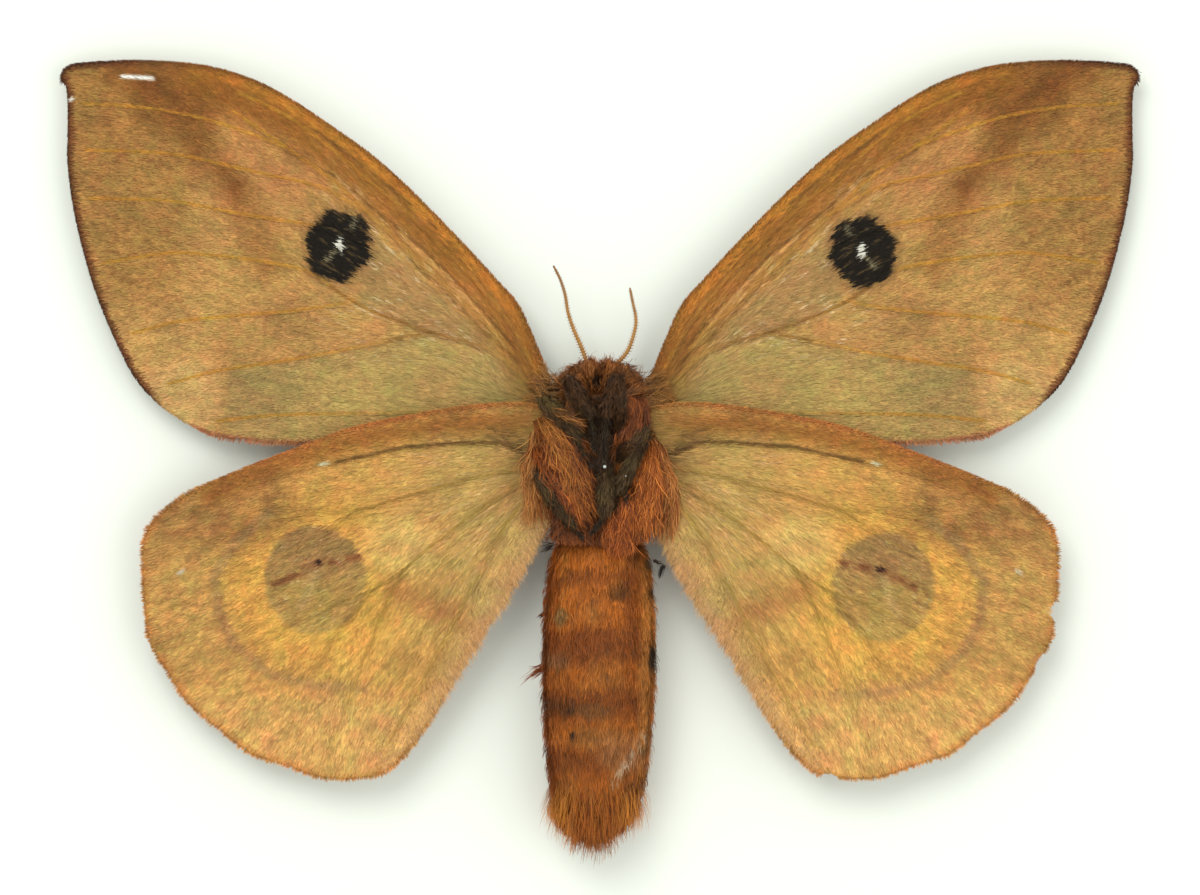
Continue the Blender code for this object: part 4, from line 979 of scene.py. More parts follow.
def hindwing_under(points, side):
    """The hindwing's underside: ochre, with the upper side's eyespot showing through and a grey ring."""
    x, y = points.T
    lines = HINDWING_LINES
    spot = np.array(HINDWING_SPOTS[side])
    base = smooth_step((25 - x + 0.2 * y) / 12)
    pale = smooth_step(noise(flow(points, "hind"), (0.5, 4.0), 92) * 1.6 - 0.2) * base
    outer = 1 - in_oval(points, (27, -12), (13.0, 12.6), 0.3)
    rosy = ramp(x, 30, 38) * ramp(y, -27, -21)
    apex = in_oval(points, (39.5, -4.8), (9.5, 4.6), 0.9)
    mottle = smooth_step(0.5 + 0.9 * noise(points, 1.1, 40))
    pink = smooth_step(noise(points, 1.8, 42) * 1.4 - 0.1) * ramp(y, -20, -25)
    away, along, _ = nearest_on_line(points, np.array(lines["ring"]) + spot - np.array(HINDWING_SPOTS[1]))
    width = 0.62 - 0.2 * along + 0.14 * noise(points, 1.0, 43)
    ring = (0.6 - 0.15 * along) * smooth_step(1.5 - away / width)
    away = (points - spot) / np.array([5.4, 5.63])
    size = np.linalg.norm(away, axis=1) + 0.03 * noise(points, 0.7, 44)
    disc = ramp(size, 1.03, 0.93)
    dark_lines = smooth_step(noise(flow(points, "hind"), (0.22, 2.4), 93) * 1.8 - 0.4)
    broken = smooth_step(0.8 + noise(points, 0.6, 39))
    streak = near(points, np.array([(-4.6, 2.5), (-0.4, 1.7), (4.4, -0.6)]) + spot, 0.75) * broken
    glints = smooth_step(noise(points, 0.22, 38) * 2.2 - 1.35) * disc
    glints = glints * ramp(np.abs(away[:, 1]), 1.6, 0.8)
    colours = blend(plain(OCHRE, points), {
        "root part": (CREAM, 0.75 * base),
        "pale streaks": ((208, 170, 122), 0.45 * pale),
        "gold": (GOLD, 0.85 * in_oval(points, spot, (9.6, 9.0), 0.6) * ramp(x, 17, 24)),
        "cream patch": ((222, 186, 110), 0.6 * in_oval(points, (20.5, -8.8), (4.0, 3.0), 1.1)),
        "rosy outside": ((198, 151, 84), 0.7 * outer * rosy),
        "apex": ((148, 104, 56), apex * (0.45 + 0.4 * mottle)),
        "low part": (PEACH, 0.8 * ramp(y, -22.5, -26.5)),
        "pink patches": ((204, 140, 88), 0.42 * pink),
        # The front strip is partly its own reddish brown and partly painted shade where the forewing lies
        # beneath it.
        "front strip": (FRONT_BROWN_AND_SHADE, 0.75 * near(points, lines["front strip"], 2.6)),
        "inner shade": ((164, 108, 60), 0.55 * near(points, lines["inner shade"], 2.8)),
        "inner part": ((192, 152, 91), 0.5 * near(points, lines["inner part"], 2.4)),
        "fold": ((214, 176, 100), 0.45 * near(points, lines["fold"], 0.5)),
        "ring": (GREY, ring),
        "disc": ((174, 138, 76), 0.82 * disc),
        "disc's upper part": ((158, 118, 72), 0.6 * disc * ramp(away[:, 1], -0.25, 0.45)),
        "disc's lines": ((128, 100, 56), 0.4 * disc * dark_lines),
        "streak": ((116, 60, 34), 0.7 * streak),
        "pale streak": ((200, 168, 108), 0.5 * near(points, np.array(lines["pale streak"]) + spot, 0.9)),
        "glints": ((226, 208, 170), 0.5 * glints),
        "dot": ((48, 28, 22), 0.9 * in_oval(points, spot + np.array([-0.35, 1.8]), (0.42, 0.3), 0.6)),
    })
    strength = 0.54 - 0.3 * ramp(x, 22, 32) - 0.2 * ramp(y, -14, -22)
    colours = veins_painted(colours, points, VEIN_LINES["hind"], (138, 106, 42), 0.17, strength, -24)
    root_spots = near(points, lines["root spots"], 1.7) * (0.5 + 0.9 * noise(points, 0.35, 81))
    edge = smooth_step(1.2 - nearest_on_line(points, RIM_LINES["hind"])[0] / 0.8)
    scars = near(points, ((28.0, -0.35), (28.6, -0.5)), 0.35)
    scars = scars + near(points, ((43.1, -11.5), (43.4, -11.7)), 0.4)
    grain = smooth_step(noise(points, 0.3, 37) * 1.7 - 0.3)
    grain = grain * np.maximum(ramp(x, 26, 36), ramp(y, -18, -26))
    colours = blend(colours, {
        "root": ((146, 108, 54), 0.55 * ramp(x, 11.5, 5.5) * ramp(y, -7, -3)),
        "root spots": ((84, 64, 34), 0.75 * root_spots),
        "dark vein": ((86, 58, 28), 0.7 * near(points, lines["dark vein"], 0.32)),
        "front edge": ((160, 92, 46), 0.6 * edge * (y > -2) * (x < 36)),
        "edge": ((180, 112, 52), 0.5 * edge),
        "scars": ((226, 214, 190), 0.8 * scars),
        "grain": ((168, 106, 58), 0.3 * grain * (1 - disc)),
    })
    return speckle(colours, points, "hind", 0.15, 45)


def forewing_top(points, side):
    """The forewing's upper side, from the species: brown, with a dark slanting line and a dark spot."""
    spot = in_oval(points, FOREWING_SPOTS[side], (2.6, 3.2), 0.3)
    band = smooth_step(near(points, ((50.4, 40.5), (44, 30), (38, 17), (32, 2)), 3.2))
    colours = blend(plain(TOP_BROWN, points), {
        "root": (TOP_DARK, 0.5 * ramp(points[:, 0], 14, 6)),
        "rosy band": (TOP_ROSE, 0.6 * band),
        "outer line": (TOP_DARK, 0.85 * near(points, ((48.5, 40.5), (42, 30), (36, 17), (30, 2)), 1.1)),
        "inner line": (TOP_DARK, 0.7 * near(points, ((15, 21), (17, 12), (15, 2)), 1.0)),
        "spot": ((118, 84, 60), 0.7 * spot),
        "spot's ring": (TOP_DARK, 0.6 * (in_oval(points, FOREWING_SPOTS[side], (3.2, 3.8), 0.3) - spot)),
    })
    colours = veins_painted(colours, points, VEIN_LINES["fore"], (132, 98, 66), 0.25, 0.4, 0)
    return speckle(colours, points, "fore", 0.22, 26)


def hindwing_top(points, side):
    """The hindwing's upper side, from the species: yellow, with a ringed black eyespot and a rosy rim."""
    spot = np.array(HINDWING_SPOTS[side])
    size = np.linalg.norm(points - spot, axis=1) + 0.2 * noise(points, 0.8, 46)
    away = np.linalg.norm((points - np.array([27.0, -12.0])) / np.array([13.0, 12.2]), axis=1)
    away = away + 0.02 * noise(points, 1.2, 47)
    streak = near(points, np.array([(-2.0, 1.4), (0.0, 1.9), (1.8, 1.2)]) + spot, 0.5)
    colours = blend(plain(TOP_YELLOW, points), {
        "front": (TOP_ROSE, 0.75 * ramp(points[:, 1], 0.5, 3.5)),
        "root": (TOP_ROSE, 0.8 * ramp(points[:, 0], 14, 9)),
        "outside": ((150, 98, 66), 0.85 * ramp(away, 1.08, 1.13)),
        "black ring": (TOP_BLACK, 0.9 * smooth_step(1.4 - np.abs(away - 1.02) / 0.045)),
        "rim": (TOP_ROSE, 0.7 * ramp(away, 1.22, 1.28)),
        "spot": (TOP_BLACK, ramp(size, 5.4, 5.1)),
        "spot's middle": ((70, 58, 60), 0.7 * ramp(size, 3.2, 2.0)),
        "streak": ((232, 230, 222), 0.9 * streak),
    })
    return speckle(colours, points, "hind", 0.2, 48)


# Shapes of the body.

def oval_ring(y, half_width, low, high, sides, x_middle):
    """A ring of points round the body, flattened where it would reach the floor."""
    turns = np.linspace(0, 2 * math.pi, sides, endpoint=False)
    middle, half_height = (low + high) / 2, (high - low) / 2
    z = np.maximum(middle + half_height * np.sin(turns), COAT_DEPTH + 0.05)
    return np.column_stack([x_middle + half_width * np.cos(turns), np.full(sides, y), z])


def tube_rings(path, radii, sides):
    """Rings round a path, with rounded ends."""
    path = np.asarray(path, float)
    ways = unit(np.gradient(path, axis=0))
    first = path[0] - ways[0] * radii[0] * 0.6
    last = path[-1] + ways[-1] * radii[-1] * 0.6
    path = np.vstack([first, path, last])
    ways = np.vstack([ways[0], ways, ways[-1]])
    radii = np.concatenate([[radii[0] * 0.6], radii, [radii[-1] * 0.6]])
    side = unit(np.cross(ways[0], (0.31, 0.17, 0.93)))
    turns = np.linspace(0, 2 * math.pi, sides, endpoint=False)
    rings = []
    for place, way, radius in zip(path, ways, radii):
        side = unit(side - way * (side @ way))
        other = np.cross(way, side)
        rings.append(place + radius * (np.cos(turns)[:, None] * side + np.sin(turns)[:, None] * other))
    return rings


def skin_over(rings):
    """Points and triangles of a closed skin over rings of points."""
    sides = len(rings[0])
    points = np.vstack(rings + [rings[0].mean(axis=0)[None], rings[-1].mean(axis=0)[None]])
    k = np.arange(sides)
    after = (k + 1) % sides
    triangles = []
    for row in range(len(rings) - 1):
        a, b = row * sides, (row + 1) * sides
        triangles.append(np.column_stack([a + k, a + after, b + after]))
        triangles.append(np.column_stack([a + k, b + after, b + k]))
    first, last, end = len(points) - 2, len(points) - 1, (len(rings) - 1) * sides
    triangles.append(np.column_stack([np.full(sides, first), after, k]))
    triangles.append(np.column_stack([np.full(sides, last), end + k, end + after]))
    return points, np.vstack(triangles)


def joined(parts):
    """Several point and triangle arrays as one."""
    points, triangles, first = [], [], 0
    for some_points, some_triangles in parts:
        points.append(some_points)
        triangles.append(some_triangles + first)
        first += len(some_points)
    return np.vstack(points), np.vstack(triangles)


def sections_at(sections, places):
    """Half width, lowest and highest z of a body at these places along Y."""
    curve = spline(sections, 12)
    order = np.argsort(curve[:, 0])
    return np.column_stack([np.interp(places, curve[order, 0], curve[order, k]) for k in (1, 2, 3)])


def abdomen_middle(y):
    """The abdomen's middle, in x, at these places along Y."""
    return np.interp(y, *ABDOMEN_BEND)


def segment_step(y):
    """How far a ring of the abdomen stands out at this place: it widens backwards and drops at the seam."""
    for front, back in zip(SEGMENT_EDGES, SEGMENT_EDGES[1:]):
        if back < y <= front:
            share = (y - front) / (back - front)
            return SEGMENT_RISE * math.sin(min(share, 0.93) * math.pi / 1.5) * (1 if share < 0.93 else 0.5)
    return 0.0


def body_core(sections, spacing, inset, middle=None, step=None):
    """A closed length of the body, through its sections and this far inside them."""
    places = np.arange(sections[0][0] - 0.3, sections[-1][0] + 0.3, -spacing)
    rings = []
    for y, (half, low, high) in zip(places, sections_at(sections, places)):
        grow = (step(y) if step else 0.0) - inset
        centre = middle(y) if middle else 0.0
        rings.append(oval_ring(y, max(half + grow, 0.3), low - grow, high + grow, 48, centre))
    return skin_over(rings)


def leg_path(parts, name):
    """The middle line of one part of a leg."""
    return evenly(spline(parts[name], 6), 0.25)


def leg_shape(parts):
    """A leg's tubes: thicker in the middle of the femur and tibia, jointed along the tarsus."""
    made = []
    for name, radius in LEG_RADII.items():
        path = leg_path(parts, name)
        share = np.linspace(0, 1, len(path))
        thick = radius - 0.12
        if name == "tarsus":
            radii = thick * (1.05 - 0.3 * share) * (1 + 0.16 * np.sin(share * 5 * 2 * math.pi))
        else:
            radii = thick * (0.86 + 0.2 * np.sin(share * math.pi))
        made.append(skin_over(tube_rings(path, radii, 16)))
    return made


def ellipsoid(centre, radii, turn=0.0):
    """An oval body, turned about the upright axis."""
    spin = np.array([[math.cos(turn), -math.sin(turn), 0], [math.sin(turn), math.cos(turn), 0], [0, 0, 1]])
    around = np.linspace(0, 2 * math.pi, 28, endpoint=False)
    rings = []
    for angle in np.linspace(-math.pi / 2 + 0.15, math.pi / 2 - 0.15, 14):
        ring = np.column_stack([np.cos(angle) * np.cos(around), np.full(28, np.sin(angle)),
                                -np.cos(angle) * np.sin(around)]) * np.array(radii)
        rings.append(ring @ spin.T + np.array(centre))
    return skin_over(rings)


def build_body_skin():
    """One skin for the head, thorax, abdomen, palps and legs, with no seams."""
    parts = [body_core(THORAX_SECTIONS, 0.4, COAT_DEPTH),
             body_core(NECK_SECTIONS, 0.3, COAT_DEPTH),
             body_core(HEAD_SECTIONS, 0.3, HEAD_COAT_DEPTH),
             body_core(WAIST_SECTIONS, 0.3, COAT_DEPTH),
             body_core(ABDOMEN_SECTIONS, 0.25, ABDOMEN_COAT_DEPTH, abdomen_middle, segment_step)]
    for side in SIDES.values():
        flip = np.array([side, 1, 1])
        parts.append(skin_over(tube_rings(spline(PALP, 6) * flip, np.full(19, PALP_RADIUS - 0.1), 16)))
        parts.append(ellipsoid(np.array(EYE_PLACE) * flip, EYE_SOCKET))
    for leg in LEGS.values():
        parts += leg_shape(leg)
    parts += [ellipsoid(centre, radii, turn) for centre, radii, turn in COXA_PLATES]
    points, triangles = joined(parts)
    raw = mesh_object("raw_body", points, triangles, plain((0, 0, 0), points))
    remesh = raw.modifiers.new("remesh", "REMESH")
    remesh.mode = "VOXEL"
    remesh.voxel_size = BODY_VOXEL * MM
    relax = raw.modifiers.new("relax", "SMOOTH")
    relax.factor = 0.5
    relax.iterations = 3
    bpy.context.view_layer.update()
    graph = bpy.context.evaluated_depsgraph_get()
    mesh = bpy.data.meshes.new_from_object(raw.evaluated_get(graph), depsgraph=graph)
    bpy.data.objects.remove(raw, do_unlink=True)
    mesh.name = "body_skin"
    mesh.shade_smooth()
    return mesh


def mesh_arrays(mesh):
    """A mesh's points in millimetres, its normals and its triangles."""
    points = np.empty(len(mesh.vertices) * 3, np.float32)
    mesh.vertices.foreach_get("co", points)
    normals = np.empty(len(mesh.vertices) * 3, np.float32)
    mesh.vertex_normals.foreach_get("vector", normals)
    mesh.calc_loop_triangles()
    triangles = np.empty(len(mesh.loop_triangles) * 3, np.int32)
    mesh.loop_triangles.foreach_get("vertices", triangles)
    return points.reshape(-1, 3) / MM, normals.reshape(-1, 3), triangles.reshape(-1, 3)


def coat_roots(name, skin, draw, keep):
    """Roots and normals of a coat's hairs, spread over the skin's triangles that keep accepts."""
    points, normals, triangles = skin
    triangles = triangles[keep(points[triangles].mean(axis=1))]
    a, b, c = (points[triangles[:, k]] for k in range(3))
    areas = np.linalg.norm(np.cross(b - a, c - a), axis=1) / 2
    count = int(areas.sum() / COATS[name].spacing ** 2)
    picked = np.searchsorted(np.cumsum(areas) / areas.sum(), draw.uniform(0, 1, count))
    picked = np.minimum(picked, len(triangles) - 1)
    u, v = draw.uniform(0, 1, (2, count))
    over = u + v > 1
    u[over], v[over] = 1 - u[over], 1 - v[over]
    weights = np.stack([1 - u - v, u, v], axis=1)[:, :, None]
    chosen = triangles[picked]
    return (points[chosen] * weights).sum(axis=1), unit((normals[chosen] * weights).sum(axis=1))


def leg_nearness(points):
    """Distance from each point to the nearest leg's surface, the leg's direction there, and its part."""
    best = np.full(len(points), np.inf)
    ways = np.zeros((len(points), 3))
    part = np.zeros(len(points), int)
    for leg in LEGS.values():
        for number, (name, radius) in enumerate(LEG_RADII.items()):
            away, _, way = nearest_on_line(points, leg_path(leg, name))
            closer = away - radius < best
            best[closer] = (away - radius)[closer]
            ways[closer] = way[closer]
            part[closer] = number
    return best, ways, part


def eye_distance(points):
    """Distance to the nearer eye's centre."""
    mirrored = np.column_stack([np.abs(points[:, 0]), points[:, 1:]])
    return np.linalg.norm(mirrored - np.array(EYE_PLACE), axis=1)


def body_places(points):
    """UV points of the body: unrolled round its length."""
    turn = np.arctan2(points[:, 2] - 5.0, points[:, 0]) / (2 * math.pi) + 0.5
    return np.column_stack([0.04 + 0.92 * turn, 0.04 + 0.92 * (points[:, 1] + 43) / 64])


# Colours of the body.

def leg_colours(points, part):
    """Olive-brown hair: redder on the coxae, nearly black on the feet, and brown towards the head."""
    x, y = points.T[:2]
    olive = smooth_step(noise(points, 1.6, 61) * 1.5 + 0.1)
    colours = blend(plain(LEG_HAIR, points), {
        "coxae": ((74, 46, 24), 0.7 * (part == 0)),
        "olive": (LEG_OLIVE, 0.4 * olive * (part > 0)),
        "right midleg": ((124, 104, 56), 0.75 * near(points, ((-6.0, 6.2, 9.0), (-1.7, 3.8, 11.7)), 1.1)),
        "left foreleg": ((96, 58, 30), 0.6 * near(points, ((1.75, 8.5, 9.7), (0.8, 5.2, 11.8)), 1.1)),
        "forelegs": ((80, 49, 27), 0.65 * ramp(y, 4.6, 6.1) * (np.abs(x) < 4)),
        "feet": ((28, 22, 14), 0.6 * (part == 3)),
        "dust": ((150, 146, 132), 0.5 * near(points, ((-0.3, 0.3, 12), (0.5, -0.9, 12.2)), 0.7)),
    })
    return colours * (1 + 0.2 * noise(points, 0.4, 62))[:, None]


def thorax_colours(points):
    """Orange-brown hair, lighter in streams along the sides and dark in a column between the legs."""
    x, y, z = points.T
    streams = smooth_step(noise(points, (0.5, 3.4), 63) * 1.3 + 0.1) * ramp(np.abs(x), 2.2, 3.6)
    middle = ramp(np.abs(x - 0.1), 2.0, 1.1) * ramp(z, 7, 9)
    plate = in_oval(points[:, :2], *BREAST_PLATE, 0.4) * (z > 6.5)
    plate_lines = smooth_step(noise(points, (0.22, 1.6), 86) * 1.4 + 0.2)
    colours = blend(plain(THORAX_HAIR, points), {
        "streams": (THORAX_LIGHT, 0.6 * streams),
        "front": ((92, 56, 28), 0.75 * ramp(y, 3.0, 5.0) * (z > 6)),
        "middle": ((54, 38, 22), 0.9 * middle * ramp(y, -6.4, -4.9)),
        "plate": (COXA_RED, 0.85 * plate),
        "plate's lines": ((92, 46, 20), 0.6 * plate * plate_lines),
        "back": ((132, 88, 58), 0.6 * ramp(z, 4.0, 2.0)),
    })
    return colours * (1 + 0.14 * noise(points, 0.45, 64))[:, None]


def abdomen_colours(points):
    """Orange-brown velvet in soft darker bands, with stains, specks, a pale crust, and painted shade and light
    on its flanks.
    """
    x, y, z = points.T
    x = x - abdomen_middle(y)
    plan = points[:, :2]
    around = np.column_stack([np.arctan2(z - 5.0, x) * 5, y])
    ragged = y + 0.3 * noise(around, (0.4, 0.6), 66) + 0.5 * noise(around, (3.0, 3.0), 79)
    places, dark = np.array(ABDOMEN_BANDS[::-1]).T
    beside = near(plan, ((2.6, -8.0), (3.3, -12.0), (3.1, -16.5)), 1.5) * (z > 6)
    colours = blend(plain(ABDOMEN_HAIR, points), {
        "light patches": ((210, 136, 54), 0.45 * smooth_step(noise(around, (1.2, 2.6), 65) * 1.2)),
        "bands": (ABDOMEN_DARK, np.interp(ragged, places, dark)),
        # Painted shade darkens the right flank, and painted light makes the left flank golden.
        "right side": ((140, 66, 20), 0.4 * ramp(-x, 3.4, 4.8)),
        "left side": ((212, 142, 68), 0.65 * ramp(x, 3.7, 4.7)),
        "shade": ((116, 58, 22), 0.5 * beside),
        "tip": (ABDOMEN_TIP, 0.8 * ramp(y, -34.0, -37.0)),
        "blotches": ((110, 76, 42), 0.35 * smooth_step(noise(around, (1.4, 1.4), 80) * 1.6 - 0.75)),
    })
    wander = plan + 0.35 * noise(points, 0.8, 84)[:, None]
    for centre, radii, colour, strength in STAINS:
        colours = mix(colours, colour, strength * in_oval(wander, centre, radii, 0.9) * (z > 4))
    for place in ABDOMEN_SPECKS:
        away = np.linalg.norm(plan - np.array(place), axis=1)
        colours = mix(colours, (22, 16, 10), 0.9 * smooth_step(1.4 - away / 0.3) * (z > 5))
    crust = near(plan, ((1.4, -33.1), (2.6, -31.4), (3.4, -30.0), (4.5, -28.5)), 0.9) * (z > 6)
    parting = near(plan, ((-4.2, -36.2), (-0.3, -39.6), (2.8, -35.8)), 1.3) * (z > 5)
    colours = blend(colours, {
        "crust": ((216, 190, 160), 0.8 * crust * smooth_step(0.5 + 1.2 * noise(points, 0.28, 67))),
        "back": ((116, 66, 32), 0.5 * ramp(z, 3.4, 1.4)),
        "tuft's parting": ((84, 38, 12), 0.55 * parting),
    })
    return colours * (1 + 0.12 * noise(points, 0.4, 68))[:, None]


def head_colours(points):
    """Dark brown fur, redder in tufts and nearly black round the eyes, with painted shade, nearly black, in
    the gap between the palps.
    """
    y, z = points.T[1:]
    # Painted shade, nearly black, in the gap between the palps.
    gap = in_oval(points[:, :2], (-0.4, 7.5), (0.55, 0.65), 0.6) * (z > 6)
    colours = blend(plain(HEAD_HAIR, points), {
        "tufts": ((150, 88, 36), 0.5 * smooth_step(noise(points, 0.7, 69) * 1.4)),
        "eyes' rims": ((62, 34, 18), 0.6 * ramp(eye_distance(points), 2.3, 1.1)),
        "gap": ((18, 14, 10), 0.85 * gap),
        "crown": ((152, 86, 36), 0.5 * ramp(y, 8.9, 9.5)),
    })
    return colours * (1 + 0.16 * noise(points, 0.35, 70))[:, None]


def body_colours(points):
    """The skin's colours, the same as the coat's over it."""
    away, _, part = leg_nearness(points)
    behind = smooth_step((-8.2 - points[:, 1]) / 0.6 + 0.5)
    ahead = smooth_step((points[:, 1] - 6.5) / 0.6 + 0.5)
    return blend(thorax_colours(points), {
        "abdomen": (abdomen_colours(points), behind),
        "head": (head_colours(points), ahead),
        "legs": (leg_colours(points, part), smooth_step(1.3 - away / 0.25)),
    })


# Coats of the body.

def bent_hairs(roots, normals, ways, lengths, rise, stations, droop, hold=1.0):
    """Paths of hairs that leave the skin at a slant and bend over along its lie, as far as hold says."""
    flat = unit(ways - hold * normals * (ways * normals).sum(axis=1, keepdims=True))
    paths = []
    for share in np.linspace(0, 1, stations + 1):
        up = rise * np.sin(math.pi / 2 * min(1.0, 1.6 * share)) - droop * share ** 2
        spot = roots + flat * (lengths * share)[:, None] + normals * (up * lengths - 0.08)[:, None]
        paths.append(spot)
    return np.stack(paths, axis=1)


def clumped(paths, draw, count, pull):
    """Draws the tips of neighbouring hairs together."""
    centres = draw.choice(len(paths), count, replace=False)
    nearest = np.zeros(len(paths), int)
    best = np.full(len(paths), np.inf)
    for number, centre in enumerate(centres):
        away = np.linalg.norm(paths[:, 0] - paths[centre, 0], axis=1)
        closer = away < best
        best[closer] = away[closer]
        nearest[closer] = number
    target = paths[centres[nearest]]
    weights = (np.linspace(0, 1, paths.shape[1]) ** 1.5 * pull)[None, :, None]
    return paths * (1 - weights) + target * weights


def clear_paths(paths):
    """Lifts hairs off the wings and keeps them above the floor."""
    x, y, z = (paths[:, :, k] for k in range(3))
    above = paths[:, :1, 2] > WING_LEVEL
    wide = ramp(np.abs(x), 3.6, 4.8)
    hind = wing_height("hind", x, y)
    high = hind + WING_CLEARANCE
    low = np.where(y > 0, wing_height("fore", x, y), hind) - WING_CLEARANCE
    z = np.where(above & (z < high), z + (high - z) * wide, z)
    z = np.where(~above & (z > low), z + (low - z) * wide, z)
    return np.stack([x, y, np.maximum(z, 0.04)], axis=2)


def hair_coat(name, roots, normals, ways, lengths, rise, colours, draw, hold=1.0):
    """A coat of hairs that leave the skin, drawn into clumps, clear of the wings and the floor."""
    plan = COATS[name]
    paths = bent_hairs(roots, normals, ways, lengths, rise, plan.stretches, plan.droop, hold)
    if plan.clumps:
        paths = clumped(paths, draw, plan.clumps, plan.pull)
    coat = hair_strips(name, clear_paths(paths), normals, colours, draw, plan.width)
    place_piece(coat, plan.slot, LOOKS["hair"])


def hair_strips(name, paths, normals, colours, draw, width):
    """Hairs as strips that lie about flat on the skin."""
    count, stations = len(paths), paths.shape[1] - 1
    along = unit(paths[:, -1] - paths[:, 0])
    across = unit(np.cross(along, normals) + draw.normal(0, 0.35, (count, 3)))
    across = unit(across - along * (across * along).sum(axis=1, keepdims=True))
    widths = draw.uniform(0.75, 1.25, count) * width
    taper = np.linspace(1.0, 0.5, stations)
    taper[0] = 0.8
    return strips(name, paths, across, widths, taper, colours, body_places(paths[:, 0]))


def thorax_keep(points):
    """Where the thorax's coat grows: between neck and waist, off the legs."""
    away = leg_nearness(points)[0]
    return (points[:, 1] > -8.6) & (points[:, 1] < 6.9) & (away > 0.25)


def build_thorax_coat(skin):
    """Hair that lies back over the breast and stands off its flanks."""
    draw = np.random.default_rng(SEED + 1)
    roots, out = coat_roots("thorax_coat", skin, draw, thorax_keep)
    side = np.sign(roots[:, 0])
    flank = ramp(out[:, 2], 0.75, 0.35)
    inward = np.where(side < 0, 0.42, -0.05)
    ways = np.column_stack([inward * (1 - flank) + side * 0.75 * flank, np.full(len(roots), -1.0),
                            np.zeros(len(roots))])
    ways = unit(ways) + draw.normal(0, 0.16, roots.shape)
    ways[:, 0] += 0.35 * noise(roots, 1.6, 71)
    front = ramp(roots[:, 1], 3.4, 4.9) * (roots[:, 2] > 6)
    column = ramp(np.abs(roots[:, 0]), 1.8, 1.0) * (roots[:, 2] > 7)
    lengths = draw.uniform(1.6, 2.8, len(roots)) * (1 + 0.45 * flank)
    plate = in_oval(roots[:, :2], *BREAST_PLATE, 0.5) * (roots[:, 2] > 6.5)
    short = np.maximum(np.maximum(0.45 * plate, 0.5 * column), 0.45 * front)
    lengths = np.minimum(lengths * (1 - short), np.maximum(9.3 + roots[:, 1], 0.5))
    rise = draw.uniform(0.14, 0.3, len(roots))
    colours = varied(thorax_colours(roots + unit(ways) * 0.8), draw, 0.13)
    hair_coat("thorax_coat", roots, out, ways, lengths, rise, colours, draw)


def stream_hairs(guide, half_widths, count, draw):
    """Hairs that start all along a guide line and run with it in loose strands, and each one's strand."""
    curve = evenly(spline(guide, 12), 0.1)
    ways = unit(np.gradient(curve, axis=0))
    sideways = unit(np.cross(ways, UP))
    places = np.linspace(0, 1, len(curve))
    total = 0.1 * (len(curve) - 1)
    start = draw.uniform(-0.05, 0.8, count)
    reach = np.minimum(draw.uniform(2.0, 4.2, count) / total, 1.3 - start + draw.normal(0, 0.08, count))
    strand = draw.integers(0, STRANDS, count)
    home = draw.uniform(-1, 1, STRANDS)[strand]
    across = home + draw.normal(0, 0.14, count)
    depth = draw.uniform(0, 0.7, count)
    stray = draw.normal(0, 1, (count, 2)) * np.where(draw.uniform(0, 1, (count, 1)) < 0.12, 0.9, 0.32)
    paths = []
    for share in np.linspace(0, 1, 7):
        t = start + reach * share
        spot = np.column_stack([np.interp(t, places, curve[:, k]) for k in range(3)])
        side = np.column_stack([np.interp(t, places, sideways[:, k]) for k in range(3)])
        spot += ways[-1] * (np.clip(t - 1, 0, None) * total)[:, None]
        wave = 0.42 * noise(np.column_stack([t * 6, home * 7]), 1.0, 83)
        aside = across * np.interp(t, (0, 0.5, 1), half_widths) + wave + stray[:, 0] * share ** 2
        spot += side * aside[:, None]
        spot[:, 2] += stray[:, 1] * 0.6 * share ** 2 - depth - 0.9 * (1 - share) ** 3 - 0.35 * across ** 2
        paths.append(spot)
    return np.stack(paths, axis=1), strand


def build_streams():
    """Long loose hair that streams back from the flanks over the hips, the waist and the wings' roots."""
    draw = np.random.default_rng(SEED + 5)
    all_paths, all_colours = [], []
    for guide, half_widths, count, light, dark in STREAMS.values():
        paths, strand = stream_hairs(guide, half_widths, count, draw)
        tone = draw.uniform(0, 1, STRANDS)[strand] + draw.normal(0, 0.15, count)
        colours = mix(plain(light, paths), dark, smooth_step(tone * 1.3 - 0.15))
        all_paths.append(paths)
        all_colours.append(varied(colours, draw, 0.1))
    paths, colours = np.concatenate(all_paths), np.concatenate(all_colours)
    paths[:, :, 2] = np.minimum(paths[:, :, 2], HAIR_TOP)
    coat = hair_strips("thorax_streams", paths, plain(UP, paths), colours, draw, 0.085)
    place_piece(coat, "thorax_hair", LOOKS["hair"])


def build_abdomen_coat(name, skin, on_face):
    """The abdomen's velvet on the face that on_face picks by its height."""
    draw = np.random.default_rng(SEED + 2)
    roots, out = coat_roots(name, skin, draw, lambda p: (p[:, 1] < ABDOMEN_START) & on_face(p[:, 2]))
    tuft = ramp(roots[:, 1], -33.0, -37.0)
    middle = (roots[:, 0] - abdomen_middle(roots[:, 1])) / 4
    aside = 0.28 * noise(roots, 1.4, 72) + 0.2 * noise(roots, 0.5, 94)
    ways = np.column_stack([aside, np.full(len(roots), -1.0), 0.06 * noise(roots, 1.1, 73)])
    flank = ramp(out[:, 2], 0.5, 0.1)
    ways[:, 0] += 0.3 * flank * np.sign(middle) - 0.12 * tuft * middle
    ways = ways + draw.normal(0, 0.16, roots.shape)
    lengths = draw.uniform(0.7, 1.6, len(roots)) * (1 + 0.6 * tuft)
    lengths = np.minimum(lengths, np.maximum(39.2 + roots[:, 1], 0.5))
    rise = draw.uniform(0.1, 0.26, len(roots)) * (1 + 1.6 * flank * draw.uniform(0, 1, len(roots)))
    colours = varied(abdomen_colours(roots + np.array([0, -0.5, 0])), draw, 0.09)
    hair_coat(name, roots, out, ways, lengths, rise, colours, draw)


